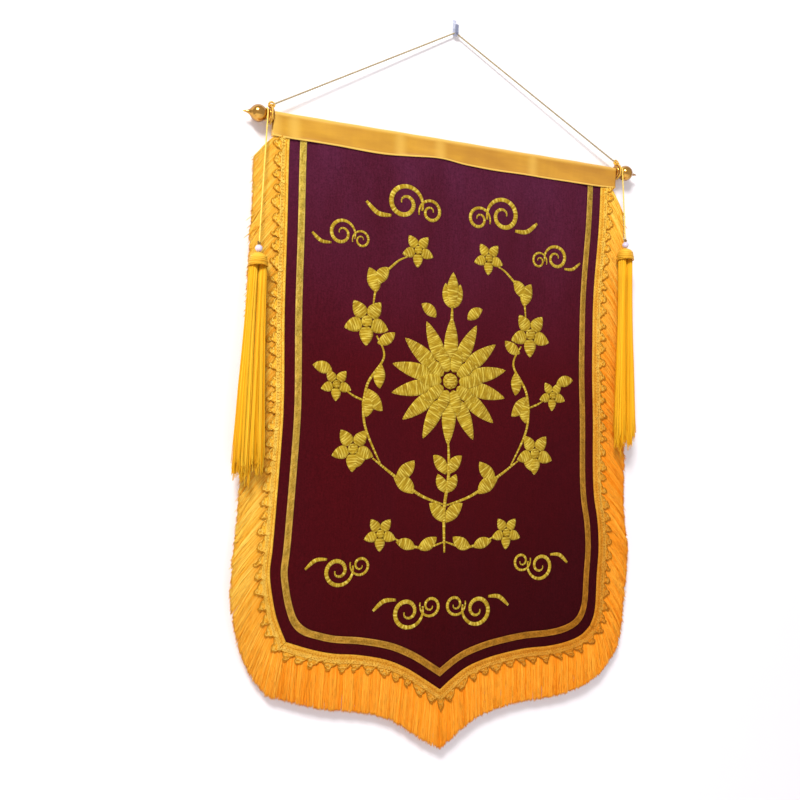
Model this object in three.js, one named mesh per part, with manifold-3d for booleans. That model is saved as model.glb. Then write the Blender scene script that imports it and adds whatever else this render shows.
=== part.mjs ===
// A silk honor pennant. A velvet banner with an ogee foot hangs in a satin heading from a rod.
// Braid with a long fringe edges it, and a tassel hangs at each end of the rod.
// A cord holds the rod on a small wall hook.
// Millimetres, +Z up. The wall is the plane y = 0 and everything lies on its -y side.
// The origin is on the back face of the hook.
import * as THREE from 'three';
import { mergeVertices } from 'three/addons/utils/BufferGeometryUtils.js';
import Module from 'manifold-3d';

const solids = await Module();
solids.setup();

// Where the pennant hangs: its centre line, the plane of its rod and the top edge of its heading.
// Inside the pennant's own group x runs from the centre line, y from the rod's plane,
// and z = -drop, where a drop is measured down from the top edge of the heading.
const hang = { x: 5, y: -16, z: -196 };

// The gap between pieces that touch, and between two layers of cloth.
const seat = 0.3;
const clothGap = 0.5;

const rod = { radius: 5, halfLength: 334.5, drop: 7 };
const heading = {
  halfWidth: 318, flare: 1.5, wall: 1.2, topSeat: 0.4, looseness: 0.7,
  levels: [1, 0.62, 0.25], turns: [0, 30, 60, 90, 120, 150, 180],
};
const velvet = { thickness: 1.6, topDrop: 21, tuck: 10, columns: 28, rows: 27 };
const ribbon = { inset: 16.5, width: 12, thickness: 0.8, steps: [40, 16, 16, 40] };
const braid = { width: 27, thickness: 1.6, steps: [40, 18, 18, 40] };
const fringe = {
  length: 62, pitch: 12.8, rootDepth: 4, bendShare: 0.38, sag: 0.35, uneven: 0.04, stray: 0.7,
  rootWall: 1, middleWall: 2.8, tipWall: 2, rootShare: 0.82, middleShare: 0.84, tipShare: 0.55,
};
const finial = {
  start: 318.8, socketDepth: 16, socketRadius: 5.3, neckRadius: 8,
  ballRadius: 13.5, ballCentre: 23.2, ballFrom: 36, ballTo: 156, ballStep: 20,
};
const cordRadius = 1.5;
const tasselCordRadius = 1.2;
const loop = { x: 323, ringRadius: 13, knotRadius: 4, knotHeight: 15.2 };
const hook = { width: 6, wall: 2, top: 13, bottom: -13, troughRadius: 4.2, lipTop: -1 };

// The lower edge of the heading: x, drop.
const headingEdge = [
  [-320, 39], [-220, 40], [-145, 42], [-80, 38], [-27, 34.5], [20, 38.5],
  [75, 40.5], [170, 39.5], [260, 40.5], [320, 38],
];

// The sewn edge of the velvet, where the braid begins: x, drop.
const leftSide = [
  [-290, 42.6], [-290, 180], [-288, 300], [-286, 400], [-285, 480], [-287, 560],
  [-290, 620], [-294, 680], [-297, 715], [-292, 750], [-283, 786], [-267, 823],
];
const footLeft = [
  [-267, 823], [-228, 836], [-191, 845], [-147, 850], [-100, 860], [-64, 875], [-34, 893], [-2, 914],
];
const footRight = [
  [-2, 914], [18, 898], [43, 882], [70, 872], [105, 864], [157, 857], [206, 855],
  [244, 849], [272, 839], [290, 824],
];
const rightSide = [
  [290, 824], [299, 805], [303, 779], [304, 740], [305, 690], [300, 640], [291, 585],
  [288, 480], [280, 380], [280, 300], [283, 180], [289, 42.6],
];

// How far the fringe turns from straight outward to straight down: share of the edge, fall.
const fringeFall = [
  [0, 0.6], [0.04, 1.15], [0.26, 1.2], [0.34, 1.1], [0.4, 4], [0.5, 5],
  [0.6, 4], [0.66, 1.1], [0.74, 1.2], [0.96, 1.15], [1, 0.6],
];

// The tassels: the end of the rod, the place of the head's top, the lean and spread of the skirt,
// and the place of the bead on the cord, in the wall's frame.
const tassels = [
  { name: 'left', side: -1, x: -339, drop: 227, lean: -4, spread: 12, bead: [-333.7, -38.1, -416.8] },
  { name: 'right', side: 1, x: 331, drop: 150, lean: 9, spread: 9, bead: [336, -38, -339.8] },
];
const tassel = { forward: 22.5, headHeight: 19, length: 358, beadRadius: 5.75, holeRadius: 1.9 };
const skirt = {
  bundleOffset: 6.3, ringRadius: 4.6, locksInRing: 8, rootDepth: 2, rootWidth: 2.8, tipWidth: 3.8,
  tipDepth: 6,
};

// The hanging cord from the left loop over the hook to the right loop, in the wall's frame.
const hangingRoute = [
  [-313.7, -15.9, -185.4], [-276.6, -14.7, -164.3], [-227.1, -13.2, -136.2],
  [-177.6, -11.6, -108.1], [-128.2, -10.1, -80], [-78.7, -8.5, -51.9],
  [-35.4, -7.2, -27.3], [-13.7, -6.5, -15], [-4.4, -6.2, -9.8], [-2.3, -6.2, -8.9],
  [0, -6.2, -8.6], [2.3, -6.2, -8.9], [4.3, -6.2, -9.7], [13.9, -6.5, -15],
  [36.3, -7.2, -27.3], [81, -8.5, -51.9], [132.1, -10.1, -80], [183.2, -11.6, -108.1],
  [234.3, -13.2, -136.2], [285.4, -14.7, -164.4], [323.7, -15.9, -185.4],
];

// The tassel cords from under the neck of the finial, over it and down to the tassel's head.
const tasselRoutes = {
  left: [
    [-324.4, -9.9, -210.3], [-324.4, -7.4, -207], [-324.4, -6.5, -203], [-324.4, -7.8, -198.2],
    [-324.4, -11.2, -194.8], [-324.4, -16, -193.5], [-324.4, -20.8, -194.8],
    [-324.4, -24.2, -198.2], [-324.4, -25.5, -202.3], [-325, -26.3, -215.6],
    [-325.8, -27.4, -235.4], [-327.3, -29.4, -268.4], [-328.7, -31.3, -301.5],
    [-330.2, -33.3, -334.6], [-331.6, -35.2, -367.6], [-332.8, -36.9, -396.3],
    [-333.7, -38.1, -416.1], [-334, -38.5, -422.7],
  ],
  right: [
    [334.4, -9.9, -210.3], [334.4, -7.4, -207], [334.4, -6.5, -203], [334.4, -7.8, -198.2],
    [334.4, -11.2, -194.8], [334.4, -16, -193.5], [334.4, -20.8, -194.8],
    [334.4, -24.2, -198.2], [334.4, -25.5, -202.3], [334.5, -26.3, -210.9],
    [334.6, -27.4, -223.8], [334.9, -29.4, -245.3], [335.1, -31.3, -266.9],
    [335.4, -33.3, -288.4], [335.6, -35.2, -309.9], [335.8, -36.9, -328.5],
    [336, -38.1, -341.4], [336, -38.5, -345.7],
  ],
};

// Finishes.
const finish = (color, roughness, metalness = 0) =>
  new THREE.MeshStandardMaterial({ color, roughness, metalness });
const velvetFinish = finish(0x5a1426, 0.9);
const satinFinish = finish(0xe0a83a, 0.45);
const ribbonFinish = finish(0xb8922e, 0.4, 0.5);
const fringeFinish = finish(0xf6a935, 0.6);
const tasselFinish = finish(0xf5c21c, 0.6);
const cordFinish = finish(0xb89a62, 0.7);
const finialFinish = finish(0xc98a2c, 0.2, 0.9);
const rodFinish = finish(0xb8a37c, 0.6);
const beadFinish = finish(0xf2efe6, 0.2);
const hookFinish = finish(0xcfd6ee, 0.25);

// Small helpers.
const mix = (start, end, share) => start + (end - start) * share;

// A steady number from -1 to 1 that looks random, one for each seed.
function wander(seed) {
  const wave = Math.sin((seed + 1) * 12.9898) * 43758.5453;
  return 2 * (wave - Math.floor(wave)) - 1;
}

// Reads a line of points as y at any x, held level past its ends.
function reader(points) {
  const rows = points[0].x < points[points.length - 1].x ? points : [...points].reverse();
  return (x) => {
    const next = rows.findIndex((row) => row.x >= x);
    if (next === -1) return rows[rows.length - 1].y;
    if (next === 0) return rows[0].y;
    return mix(rows[next - 1].y, rows[next].y, (x - rows[next - 1].x) / (rows[next].x - rows[next - 1].x));
  };
}

// Welds a geometry into one closed body with its faces pointing out.
function welded(geometry) {
  geometry.deleteAttribute('normal');
  geometry.deleteAttribute('uv');
  const body = mergeVertices(geometry, 1e-4);
  const place = body.attributes.position;
  const faces = [];
  let volume = 0;
  for (let first = 0; first < body.index.count; first += 3) {
    const face = [0, 1, 2].map((corner) => body.index.getX(first + corner));
    if (new Set(face).size < 3) continue;
    const [a, b, c] = face.map((vertex) => new THREE.Vector3().fromBufferAttribute(place, vertex));
    volume += a.dot(b.cross(c));
    faces.push(face);
  }
  body.setIndex(faces.flatMap(([a, b, c]) => (volume < 0 ? [a, c, b] : [a, b, c])));
  return body;
}

// Joins bodies that reach into one another.
function fused(geometries) {
  const bodies = geometries.map((geometry) => new solids.Manifold(new solids.Mesh({
    numProp: 3,
    vertProperties: new Float32Array(geometry.attributes.position.array),
    triVerts: new Uint32Array(geometry.index.array),
  })));
  const mesh = solids.Manifold.union(bodies).getMesh();
  const geometry = new THREE.BufferGeometry();
  geometry.setAttribute('position', new THREE.BufferAttribute(mesh.vertProperties, 3));
  geometry.setIndex(new THREE.BufferAttribute(mesh.triVerts, 1));
  return geometry;
}

// A closed body through rings of points. Each ring runs along one face and back along the other.
function loft(rings) {
  const count = rings[0].length;
  const faces = [];
  for (let ring = 0; ring < rings.length - 1; ring += 1) {
    for (let side = 0; side < count; side += 1) {
      const here = ring * count + side;
      const next = ring * count + ((side + 1) % count);
      faces.push(here, next, next + count, here, next + count, here + count);
    }
  }
  const last = (rings.length - 1) * count;
  for (let side = 0; side < count / 2 - 1; side += 1) {
    const across = count - 1 - side;
    faces.push(side + 1, side, across, side + 1, across, across - 1);
    faces.push(last + side, last + side + 1, last + across - 1);
    faces.push(last + side, last + across - 1, last + across);
  }
  const geometry = new THREE.BufferGeometry();
  const numbers = rings.flat().flatMap((point) => [point.x, point.y, point.z]);
  geometry.setAttribute('position', new THREE.Float32BufferAttribute(numbers, 3));
  geometry.setIndex(faces);
  return welded(geometry);
}

// A route whose steps follow its listed points, so that they are short where the points are close.
class SteppedRoute extends THREE.CatmullRomCurve3 {
  getUtoTmapping(share) {
    return share;
  }
}

// A round cord along a route.
function tube(route, radius, stepsBetween) {
  const corners = Array.from({ length: 8 }, (_, index) => {
    const turn = (index * Math.PI) / 4;
    return new THREE.Vector2(radius * Math.cos(turn), radius * Math.sin(turn));
  });
  const extrudePath = new SteppedRoute(route.map((point) => new THREE.Vector3(...point)));
  const steps = stepsBetween * (route.length - 1);
  return welded(new THREE.ExtrudeGeometry(new THREE.Shape(corners), { steps, extrudePath }));
}

// A turned body about the z axis, from rows of radius and height.
function turned(profile, sides) {
  const points = profile.map(([radius, height]) => new THREE.Vector2(radius, height));
  return welded(new THREE.LatheGeometry(points, sides)).rotateX(Math.PI / 2);
}

function part(name, geometry, material) {
  geometry.computeVertexNormals();
  const mesh = new THREE.Mesh(geometry, material);
  mesh.name = name;
  return mesh;
}

// How far the middle of the cloth lies in front of (-) or behind (+) the rod's plane.
function clothY(x, drop) {
  const ripple = Math.exp(-drop / 220) * (1.5 * Math.sin(x / 24 + 0.6) + 0.7 * Math.sin(x / 15 + 2));
  const edge = THREE.MathUtils.smoothstep(Math.abs(x), 150, 290);
  const flute = edge * 2.4 * Math.sin(drop / 42 + (x < 0 ? 0.4 : 2.1));
  const belly = 2 * Math.cos((Math.PI * x) / 600) * Math.sin((Math.PI * drop) / 900);
  const foot = THREE.MathUtils.smoothstep(drop, 700, 920) * (3.5 + 1.8 * Math.sin(x / 48 + 1));
  return ripple + flute - belly - foot;
}

// A point of the cloth, or lifted off its middle towards the front.
function onCloth(x, drop, lift) {
  return new THREE.Vector3(x, clothY(x, drop) - lift, -drop);
}

// The sewn edge as four smooth stretches that meet at the corners and the tip.
const samples = 120;
const stretches = [leftSide, footLeft, footRight, rightSide].map((rows) =>
  new THREE.SplineCurve(rows.map(([x, drop]) => new THREE.Vector2(x, -drop))).getSpacedPoints(samples));
const sewnEdge = stretches.flatMap((points, stretch) => points.slice(stretch === 0 ? 0 : 1));

const headingDrop = reader(new THREE.SplineCurve(
  headingEdge.map(([x, drop]) => new THREE.Vector2(x, drop))).getPoints(samples));
const leftReach = reader(stretches[0].map(({ x, y }) => ({ x: -y, y: -x })));
const rightReach = reader(stretches[3].map(({ x, y }) => ({ x: -y, y: x })));
const footDrop = reader([...stretches[1], ...stretches[2]].map(({ x, y }) => ({ x, y: -y })));

// The velvet, a wavy sheet from inside the heading to its ogee foot.
function velvetSheet() {
  const rings = [];
  for (let column = 0; column <= velvet.columns; column += 1) {
    const share = (2 * column) / velvet.columns - 1;
    const reach = share < 0 ? leftReach : rightReach;
    const lowest = footDrop(share * reach(1000)) + velvet.tuck;
    const front = [];
    const back = [];
    for (let row = 0; row <= velvet.rows; row += 1) {
      const drop = mix(velvet.topDrop, lowest, row / velvet.rows);
      const x = share * (reach(drop) + velvet.tuck);
      front.push(onCloth(x, drop, velvet.thickness / 2));
      back.unshift(onCloth(x, drop, -velvet.thickness / 2));
    }
    rings.push([...front, ...back]);
  }
  return loft(rings);
}

// One column of the heading's sleeve: up in front of the velvet, over the rod and down behind.
function sleeveWall(share, offset) {
  const seamDrop = headingDrop(share * heading.halfWidth);
  const top = rod.radius + heading.topSeat;
  const radius = top + heading.looseness * (1 + Math.sin(share * 10));
  const seamHalf = velvet.thickness / 2 + clothGap;
  const level = (fall, side) => {
    const drop = mix(rod.drop, seamDrop, fall);
    const x = share * (heading.halfWidth + heading.flare * fall);
    const half = mix(radius, seamHalf, fall ** 0.9) + offset;
    return new THREE.Vector3(x, clothY(x, drop) * fall + side * half, -drop);
  };
  const over = heading.turns.map((degrees) => {
    const turn = THREE.MathUtils.degToRad(degrees);
    const y = -Math.cos(turn) * (radius + offset);
    return new THREE.Vector3(share * heading.halfWidth, y, Math.sin(turn) * (top + offset) - rod.drop);
  });
  const front = heading.levels.map((fall) => level(fall, -1));
  const behind = heading.levels.map((fall) => level(fall, 1)).reverse();
  return [...front, ...over, ...behind];
}

function sleeve() {
  const rings = [];
  for (let column = 0; column <= velvet.columns; column += 1) {
    const share = (2 * column) / velvet.columns - 1;
    rings.push([...sleeveWall(share, heading.wall), ...sleeveWall(share, 0).reverse()]);
  }
  return loft(rings);
}

// The outward direction at a point of a line, lengthened at a bend as a mitre is.
function outwardAt(line, index) {
  const square = (from) => {
    const along = line[from + 1].clone().sub(line[from]).normalize();
    return new THREE.Vector2(along.y, -along.x);
  };
  if (index === 0) return square(0);
  if (index === line.length - 1) return square(index - 1);
  const before = square(index - 1);
  const middle = before.clone().add(square(index)).normalize();
  return middle.divideScalar(middle.dot(before));
}

// How far each point of a line is from its start.
function distancesAlong(line) {
  const distances = [0];
  for (let next = 1; next < line.length; next += 1) {
    distances.push(distances[next - 1] + line[next].distanceTo(line[next - 1]));
  }
  return distances;
}

// A line cut into equal steps, its two ends kept.
function evenly(line, steps) {
  const distances = distancesAlong(line);
  const total = distances[distances.length - 1];
  return Array.from({ length: steps + 1 }, (_, index) => {
    const target = (total * index) / steps;
    const next = Math.max(1, distances.findIndex((distance) => distance >= target - 1e-6));
    const share = (target - distances[next - 1]) / (distances[next] - distances[next - 1]);
    return line[next - 1].clone().lerp(line[next], share);
  });
}

// The four lines that run beside the sewn edge, further out (+) or further in (-).
function besideEdge(distance) {
  const line = sewnEdge.map((point, index) =>
    point.clone().addScaledVector(outwardAt(sewnEdge, index), distance));
  const nearest = Math.abs(distance) * 0.985;
  const clear = (point) => sewnEdge.every((edge) => edge.distanceTo(point) >= nearest);
  return stretches.map((_, stretch) => {
    const own = line.slice(stretch * samples, (stretch + 1) * samples + 1);
    return own.filter((point, index) => index % samples === 0 || clear(point));
  });
}

// The rings of a flat strip between two lines on the cloth.
function stripRings(innerLine, outerLine, thickness, lift) {
  const front = lift + thickness / 2;
  const back = lift - thickness / 2;
  return innerLine.map((inner, index) => {
    const outer = outerLine[index];
    return [
      onCloth(inner.x, -inner.y, front), onCloth(outer.x, -outer.y, front),
      onCloth(outer.x, -outer.y, back), onCloth(inner.x, -inner.y, back),
    ];
  });
}

// A line with its two ends cut back a little.
function cutBack(line, cut) {
  const ends = [line[0], line[line.length - 1]];
  const next = [line[1], line[line.length - 2]];
  const shorter = ends.map((end, index) => end.clone().lerp(next[index], cut / end.distanceTo(next[index])));
  return [shorter[0], ...line.slice(1, -1), shorter[1]];
}

// One line along several stretches, in even steps within each, with the shared points kept once.
function joinedLine(distance, chosen, steps) {
  const lines = besideEdge(distance);
  return chosen.flatMap((stretch, place) =>
    evenly(lines[stretch], steps[stretch]).slice(place === 0 ? 0 : 1));
}

// The gold ribbon, one length sewn along the velvet a little inside its edge.
function ribbonStrip() {
  const line = (distance) => joinedLine(distance, [0, 1, 2, 3], ribbon.steps);
  const lift = velvet.thickness / 2 + clothGap + ribbon.thickness / 2;
  const rings = stripRings(line(-ribbon.inset - ribbon.width), line(-ribbon.inset), ribbon.thickness, lift);
  return loft(rings);
}

// A lock of threads: a tapered three-sided bar through stations of centre, width and thickness.
function lock(stations, sideways, depthways) {
  return loft(stations.map(({ centre, wide, thick }) => {
    const corner = (side, depth) => centre.clone()
      .addScaledVector(sideways, (side * wide) / 2)
      .addScaledVector(depthways, (depth * thick) / 2);
    return [corner(-1, 1), corner(1, 1), corner(0, -1)];
  }));
}

const braidLift = velvet.thickness / 2 + clothGap + braid.thickness / 2;
const fallAt = reader(fringeFall.map(([x, y]) => ({ x, y })));

// A lock of the fringe, from inside the braid outward and then more steeply down.
function fringeLock(root, outward, share, seed) {
  const down = new THREE.Vector3(0, 0, -1);
  const first = new THREE.Vector3(outward.x, 0, outward.y).addScaledVector(down, fallAt(share)).normalize();
  const second = first.clone().addScaledVector(down, fringe.sag).normalize();
  const along = new THREE.Vector3(-outward.y, 0, outward.x);
  const room = fringe.pitch * first.clone().cross(along).length();
  const length = fringe.length * (1 + fringe.uneven * wander(seed));
  const start = onCloth(root.x, -root.y, braidLift);
  const bend = start.clone().addScaledVector(first, length * fringe.bendShare);
  const tip = bend.clone().addScaledVector(second, length * (1 - fringe.bendShare) + fringe.rootDepth);
  bend.y += fringe.stray * wander(seed + 300);
  tip.y += 2 * fringe.stray * wander(seed + 600);
  return lock([
    { centre: start, wide: room * fringe.rootShare, thick: fringe.rootWall },
    { centre: bend, wide: room * fringe.middleShare, thick: fringe.middleWall },
    { centre: tip, wide: room * fringe.tipShare, thick: fringe.tipWall },
  ], new THREE.Vector3(first.z, 0, -first.x), new THREE.Vector3(0, 1, 0));
}

const lengthOf = (line) => distancesAlong(line)[line.length - 1];
const rootLengths = besideEdge(braid.width - fringe.rootDepth).map(lengthOf);
const sum = (numbers) => numbers.reduce((total, number) => total + number, 0);

// One length of braid with its fringe, along one stretch of the edge or two.
function fringedBraid(chosen) {
  const edge = (distance) => cutBack(joinedLine(distance, chosen, braid.steps), seat / 2);
  const strip = loft(stripRings(edge(0), edge(braid.width), braid.thickness, braidLift));
  const passed = sum(rootLengths.slice(0, chosen[0]));
  const own = sum(chosen.map((stretch) => rootLengths[stretch]));
  const count = Math.round(own / fringe.pitch) - 1;
  // Four steps of the line make one pitch, with three of them before the first lock.
  const fine = joinedLine(braid.width - fringe.rootDepth, chosen, stretches.map(() => samples));
  const line = evenly(fine, 4 * count + 2);
  const locks = Array.from({ length: count }, (_, index) => {
    const place = 4 * index + 3;
    const share = (passed + (own * place) / (4 * count + 2)) / sum(rootLengths);
    return fringeLock(line[place], outwardAt(line, place).normalize(), share, chosen[0] * 90 + index);
  });
  return fused([strip, ...locks]);
}

// A finial, turned: a socket for the rod's end, a collar, a neck, a ball and a spike. It points up.
function finialBody() {
  const ball = [];
  for (let degrees = finial.ballFrom; degrees <= finial.ballTo; degrees += finial.ballStep) {
    const turn = THREE.MathUtils.degToRad(degrees);
    ball.push([Math.sin(turn) * finial.ballRadius, finial.ballCentre - Math.cos(turn) * finial.ballRadius]);
  }
  const profile = [
    [0, finial.socketDepth], [finial.socketRadius, finial.socketDepth], [finial.socketRadius, 0],
    [10.4, 0], [11, 0.8], [11, 7], [9.8, 8.4], [finial.neckRadius, 9],
    ...ball, [5.4, 36.2], [5.4, 37.4], [3.2, 38.2], [2.2, 40], [1.1, 44.5], [0, 48.4],
  ];
  return turned(profile, 16);
}

// The end of the hanging cord: a ring round the finial's collar with its knot on top.
function cordLoop() {
  const ring = welded(new THREE.TorusGeometry(loop.ringRadius, cordRadius, 6, 18).rotateY(Math.PI / 2));
  const knot = new THREE.IcosahedronGeometry(loop.knotRadius, 1).translate(0, 0, loop.knotHeight);
  return fused([ring, welded(knot)]);
}

// A tassel, its origin at the top of its head: a domed head and a skirt of locks in two bundles.
function tasselBody({ lean, spread }) {
  const dome = [[0, 0], [5, -0.6], [10, -3.2], [13.4, -7], [15, -12], [14.6, -17], [13.4, -19], [0, -19]];
  const locks = [];
  for (const bundle of [-1, 1]) {
    for (let index = 0; index <= skirt.locksInRing; index += 1) {
      const turn = (2 * Math.PI * index) / skirt.locksInRing;
      const inRing = index < skirt.locksInRing ? 1 : 0;
      const radial = new THREE.Vector3(Math.cos(turn), Math.sin(turn), 0);
      const tangent = new THREE.Vector3(-radial.y, radial.x, 0);
      const station = (share, drop, wide) => {
        const ringX = mix(skirt.ringRadius, spread - skirt.tipWidth * 0.6, share) * inRing;
        const ringY = mix(skirt.ringRadius, skirt.tipDepth, share) * inRing;
        const x = bundle * mix(skirt.bundleOffset, spread, share) + lean * share + radial.x * ringX;
        return { centre: new THREE.Vector3(x, radial.y * ringY, -drop), wide, thick: wide };
      };
      locks.push(lock([
        station(0, tassel.headHeight - skirt.rootDepth, skirt.rootWidth),
        station(0.45, tassel.length * 0.35, skirt.tipWidth * 0.9),
        station(1, tassel.length + 4 * wander(index + 20 * bundle), skirt.tipWidth),
      ], tangent, radial));
    }
  }
  return fused([turned(dome, 16), ...locks]);
}

// A bead with its hole upright.
function beadBody() {
  const holeTurn = Math.asin(tassel.holeRadius / tassel.beadRadius);
  const profile = [];
  for (let step = 0; step <= 8; step += 1) {
    const turn = mix(holeTurn, Math.PI - holeTurn, step / 8);
    profile.push([Math.sin(turn) * tassel.beadRadius, -Math.cos(turn) * tassel.beadRadius]);
  }
  return turned([...profile, profile[0]], 14);
}

// The wall hook: a strip that turns up in front into a trough for the cord.
function hookBody() {
  const centre = hook.wall + hook.troughRadius;
  const outer = centre;
  const level = hook.bottom + outer;
  const side = new THREE.Shape();
  side.moveTo(0, hook.top);
  side.lineTo(hook.wall, hook.top);
  side.lineTo(hook.wall, level);
  side.absarc(centre, level, hook.troughRadius, Math.PI, 2 * Math.PI, false);
  side.lineTo(centre + hook.troughRadius, hook.lipTop);
  side.lineTo(centre + outer, hook.lipTop);
  side.lineTo(centre + outer, level);
  side.absarc(centre, level, outer, 0, Math.PI, true);
  side.lineTo(0, hook.top);
  const body = new THREE.ExtrudeGeometry(side, { depth: hook.width, bevelEnabled: false, curveSegments: 10 });
  body.translate(0, 0, -hook.width / 2);
  body.applyMatrix4(new THREE.Matrix4().makeBasis(
    new THREE.Vector3(0, -1, 0), new THREE.Vector3(0, 0, 1), new THREE.Vector3(1, 0, 0)));
  return welded(body);
}

const pennant = new THREE.Group();
pennant.add(part('wall_hook', hookBody(), hookFinish));
pennant.add(part('hanging_cord', tube(hangingRoute, cordRadius, 2), cordFinish));

const cloth = new THREE.Group();
cloth.position.set(hang.x, hang.y, hang.z);
pennant.add(cloth);
cloth.add(part('velvet_panel', velvetSheet(), velvetFinish));
cloth.add(part('satin_heading', sleeve(), satinFinish));
cloth.add(part('gold_ribbon', ribbonStrip(), ribbonFinish));
cloth.add(part('fringe_left', fringedBraid([0]), fringeFinish));
cloth.add(part('fringe_foot', fringedBraid([1, 2]), fringeFinish));
cloth.add(part('fringe_right', fringedBraid([3]), fringeFinish));

const hangingRod = part(
  'hanging_rod',
  welded(new THREE.CylinderGeometry(rod.radius, rod.radius, 2 * rod.halfLength, 18)),
  rodFinish,
);
hangingRod.rotation.z = Math.PI / 2;
hangingRod.position.z = -rod.drop;
cloth.add(hangingRod);

for (const { name, side, x, drop, lean, spread, bead } of tassels) {
  const finialMesh = part(`finial_${name}`, finialBody(), finialFinish);
  finialMesh.position.set(side * finial.start, 0, -rod.drop);
  finialMesh.rotation.y = (side * Math.PI) / 2;
  cloth.add(finialMesh);

  const loopMesh = part(`cord_loop_${name}`, cordLoop(), cordFinish);
  loopMesh.position.set(side * loop.x, 0, -rod.drop);
  cloth.add(loopMesh);

  const tasselMesh = part(`tassel_${name}`, tasselBody({ lean, spread }), tasselFinish);
  tasselMesh.position.set(x, -tassel.forward, -drop);
  cloth.add(tasselMesh);

  const beadMesh = part(`bead_${name}`, beadBody(), beadFinish);
  beadMesh.position.set(...bead);
  pennant.add(beadMesh);
  pennant.add(part(`tassel_cord_${name}`, tube(tasselRoutes[name], tasselCordRadius, 1), tasselFinish));
}

export default pennant;
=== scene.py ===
# A silk honor pennant: velvet banner, satin heading, gold trims, fringe, tassels, cord and wall hook.
# The frame gives the places. Sizes here are in millimetres and become metres where points are set.
import math

import bpy
import numpy as np
from mathutils import Matrix, Vector


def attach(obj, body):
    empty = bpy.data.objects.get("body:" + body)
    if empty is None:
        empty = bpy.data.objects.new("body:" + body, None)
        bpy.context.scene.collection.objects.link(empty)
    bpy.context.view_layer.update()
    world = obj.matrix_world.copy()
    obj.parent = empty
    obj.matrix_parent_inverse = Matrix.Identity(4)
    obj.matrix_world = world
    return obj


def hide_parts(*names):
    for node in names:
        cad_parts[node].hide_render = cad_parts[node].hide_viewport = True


mm = 0.001
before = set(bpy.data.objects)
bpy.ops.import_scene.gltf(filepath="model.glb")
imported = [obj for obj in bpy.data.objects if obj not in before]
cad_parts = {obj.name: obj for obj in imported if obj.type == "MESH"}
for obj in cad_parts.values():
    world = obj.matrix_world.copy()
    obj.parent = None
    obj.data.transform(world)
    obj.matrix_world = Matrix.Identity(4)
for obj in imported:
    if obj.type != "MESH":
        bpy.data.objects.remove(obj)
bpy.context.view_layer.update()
print("frame loaded:", len(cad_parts), "nodes")


# The camera, as the photographer stood: below and to the left, turned to the right.
shot = {
    "place": (-686.1, -1447.3, -685.4),
    "forward": (0.38792, 0.92115, 0.03167),
    "up": (-0.04381, -0.01589, 0.99891),
    "lens": 42.75,  # on a 36 mm sensor
}


def makeCamera():
    bpy.ops.object.camera_add()
    camera = bpy.context.object
    camera.name = "camera"
    camera.data.sensor_width = 36
    camera.data.lens = shot["lens"]
    camera.data.clip_start = 0.05
    camera.data.clip_end = 60
    forward = Vector(shot["forward"]).normalized()
    right = forward.cross(Vector(shot["up"])).normalized()
    up = right.cross(forward)
    turn = Matrix((right, up, -forward)).transposed().to_4x4()
    camera.matrix_world = Matrix.Translation(Vector(shot["place"]) * mm) @ turn
    bpy.context.scene.camera = camera


makeCamera()


# Helpers for selecting, reading and setting points.
def selectOnly(*pieces):
    if bpy.context.mode != "OBJECT":
        bpy.ops.object.mode_set(mode="OBJECT")
    bpy.ops.object.select_all(action="DESELECT")
    for piece in pieces:
        piece.select_set(True)
        bpy.context.view_layer.objects.active = piece


def readPoints(mesh):
    points = np.empty(len(mesh.vertices) * 3)
    mesh.vertices.foreach_get("co", points)
    return points.reshape(-1, 3)


def setPoints(mesh, points):
    mesh.vertices.foreach_set("co", np.asarray(points, np.float32).ravel())
    mesh.update()


def scaleUv(mesh, width, height):
    layer = mesh.uv_layers[0]
    uv = np.empty(len(layer.uv) * 2)
    layer.uv.foreach_get("vector", uv)
    uv = uv.reshape(-1, 2) * (width, height)
    layer.uv.foreach_set("vector", uv.ravel())


# A grid that a function lays out: shape(u, v) gives the points, u and v run from 0 to 1.
def layGrid(name, columns, rows, shape, width, height):
    selectOnly()
    bpy.ops.mesh.primitive_grid_add(x_subdivisions=columns, y_subdivisions=rows, size=1)
    piece = bpy.context.object
    piece.name = name
    flat = readPoints(piece.data)
    setPoints(piece.data, shape(flat[:, 0] + 0.5, flat[:, 1] + 0.5))
    scaleUv(piece.data, width, height)
    bpy.ops.object.shade_smooth()
    return piece


def applyModifier(piece, kind, **settings):
    selectOnly(piece)
    modifier = piece.modifiers.new(kind.lower(), kind)
    for key, value in settings.items():
        setattr(modifier, key, value)
    bpy.ops.object.modifier_apply(modifier=modifier.name)


def thicken(piece, thickness):
    applyModifier(piece, "SOLIDIFY", thickness=thickness * mm, offset=-1)


def joinPieces(name, pieces):
    selectOnly(*pieces)
    if len(pieces) > 1:
        bpy.ops.object.join()
    piece = bpy.context.view_layer.objects.active
    piece.name = name
    return piece


# The last step of every piece: its name, material, body and the nodes that it stands for.
def hand(piece, name, material, slotName, *nodes):
    piece.name = name
    piece.data.name = name
    piece.data.materials.clear()
    piece.data.materials.append(material)
    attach(piece, "root")
    if nodes:
        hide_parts(*nodes)
    return piece


# Steps of modelling on the whole of a mesh start and end with these.
def openMesh(mode):
    bpy.ops.object.mode_set(mode="EDIT")
    bpy.ops.mesh.select_mode(type=mode)
    bpy.ops.mesh.select_all(action="SELECT")


def closeMesh():
    bpy.ops.mesh.select_all(action="SELECT")
    bpy.ops.mesh.normals_make_consistent(inside=False)
    bpy.ops.object.mode_set(mode="OBJECT")


def unit(vectors):
    return vectors / np.linalg.norm(vectors, axis=-1, keepdims=True)


# A running mean over a row of values whose ends are held.
def runningMean(values, half):
    kernel = np.ones(2 * half + 1) / (2 * half + 1)
    return np.convolve(np.pad(values, half, mode="edge"), kernel, mode="valid")


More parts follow.
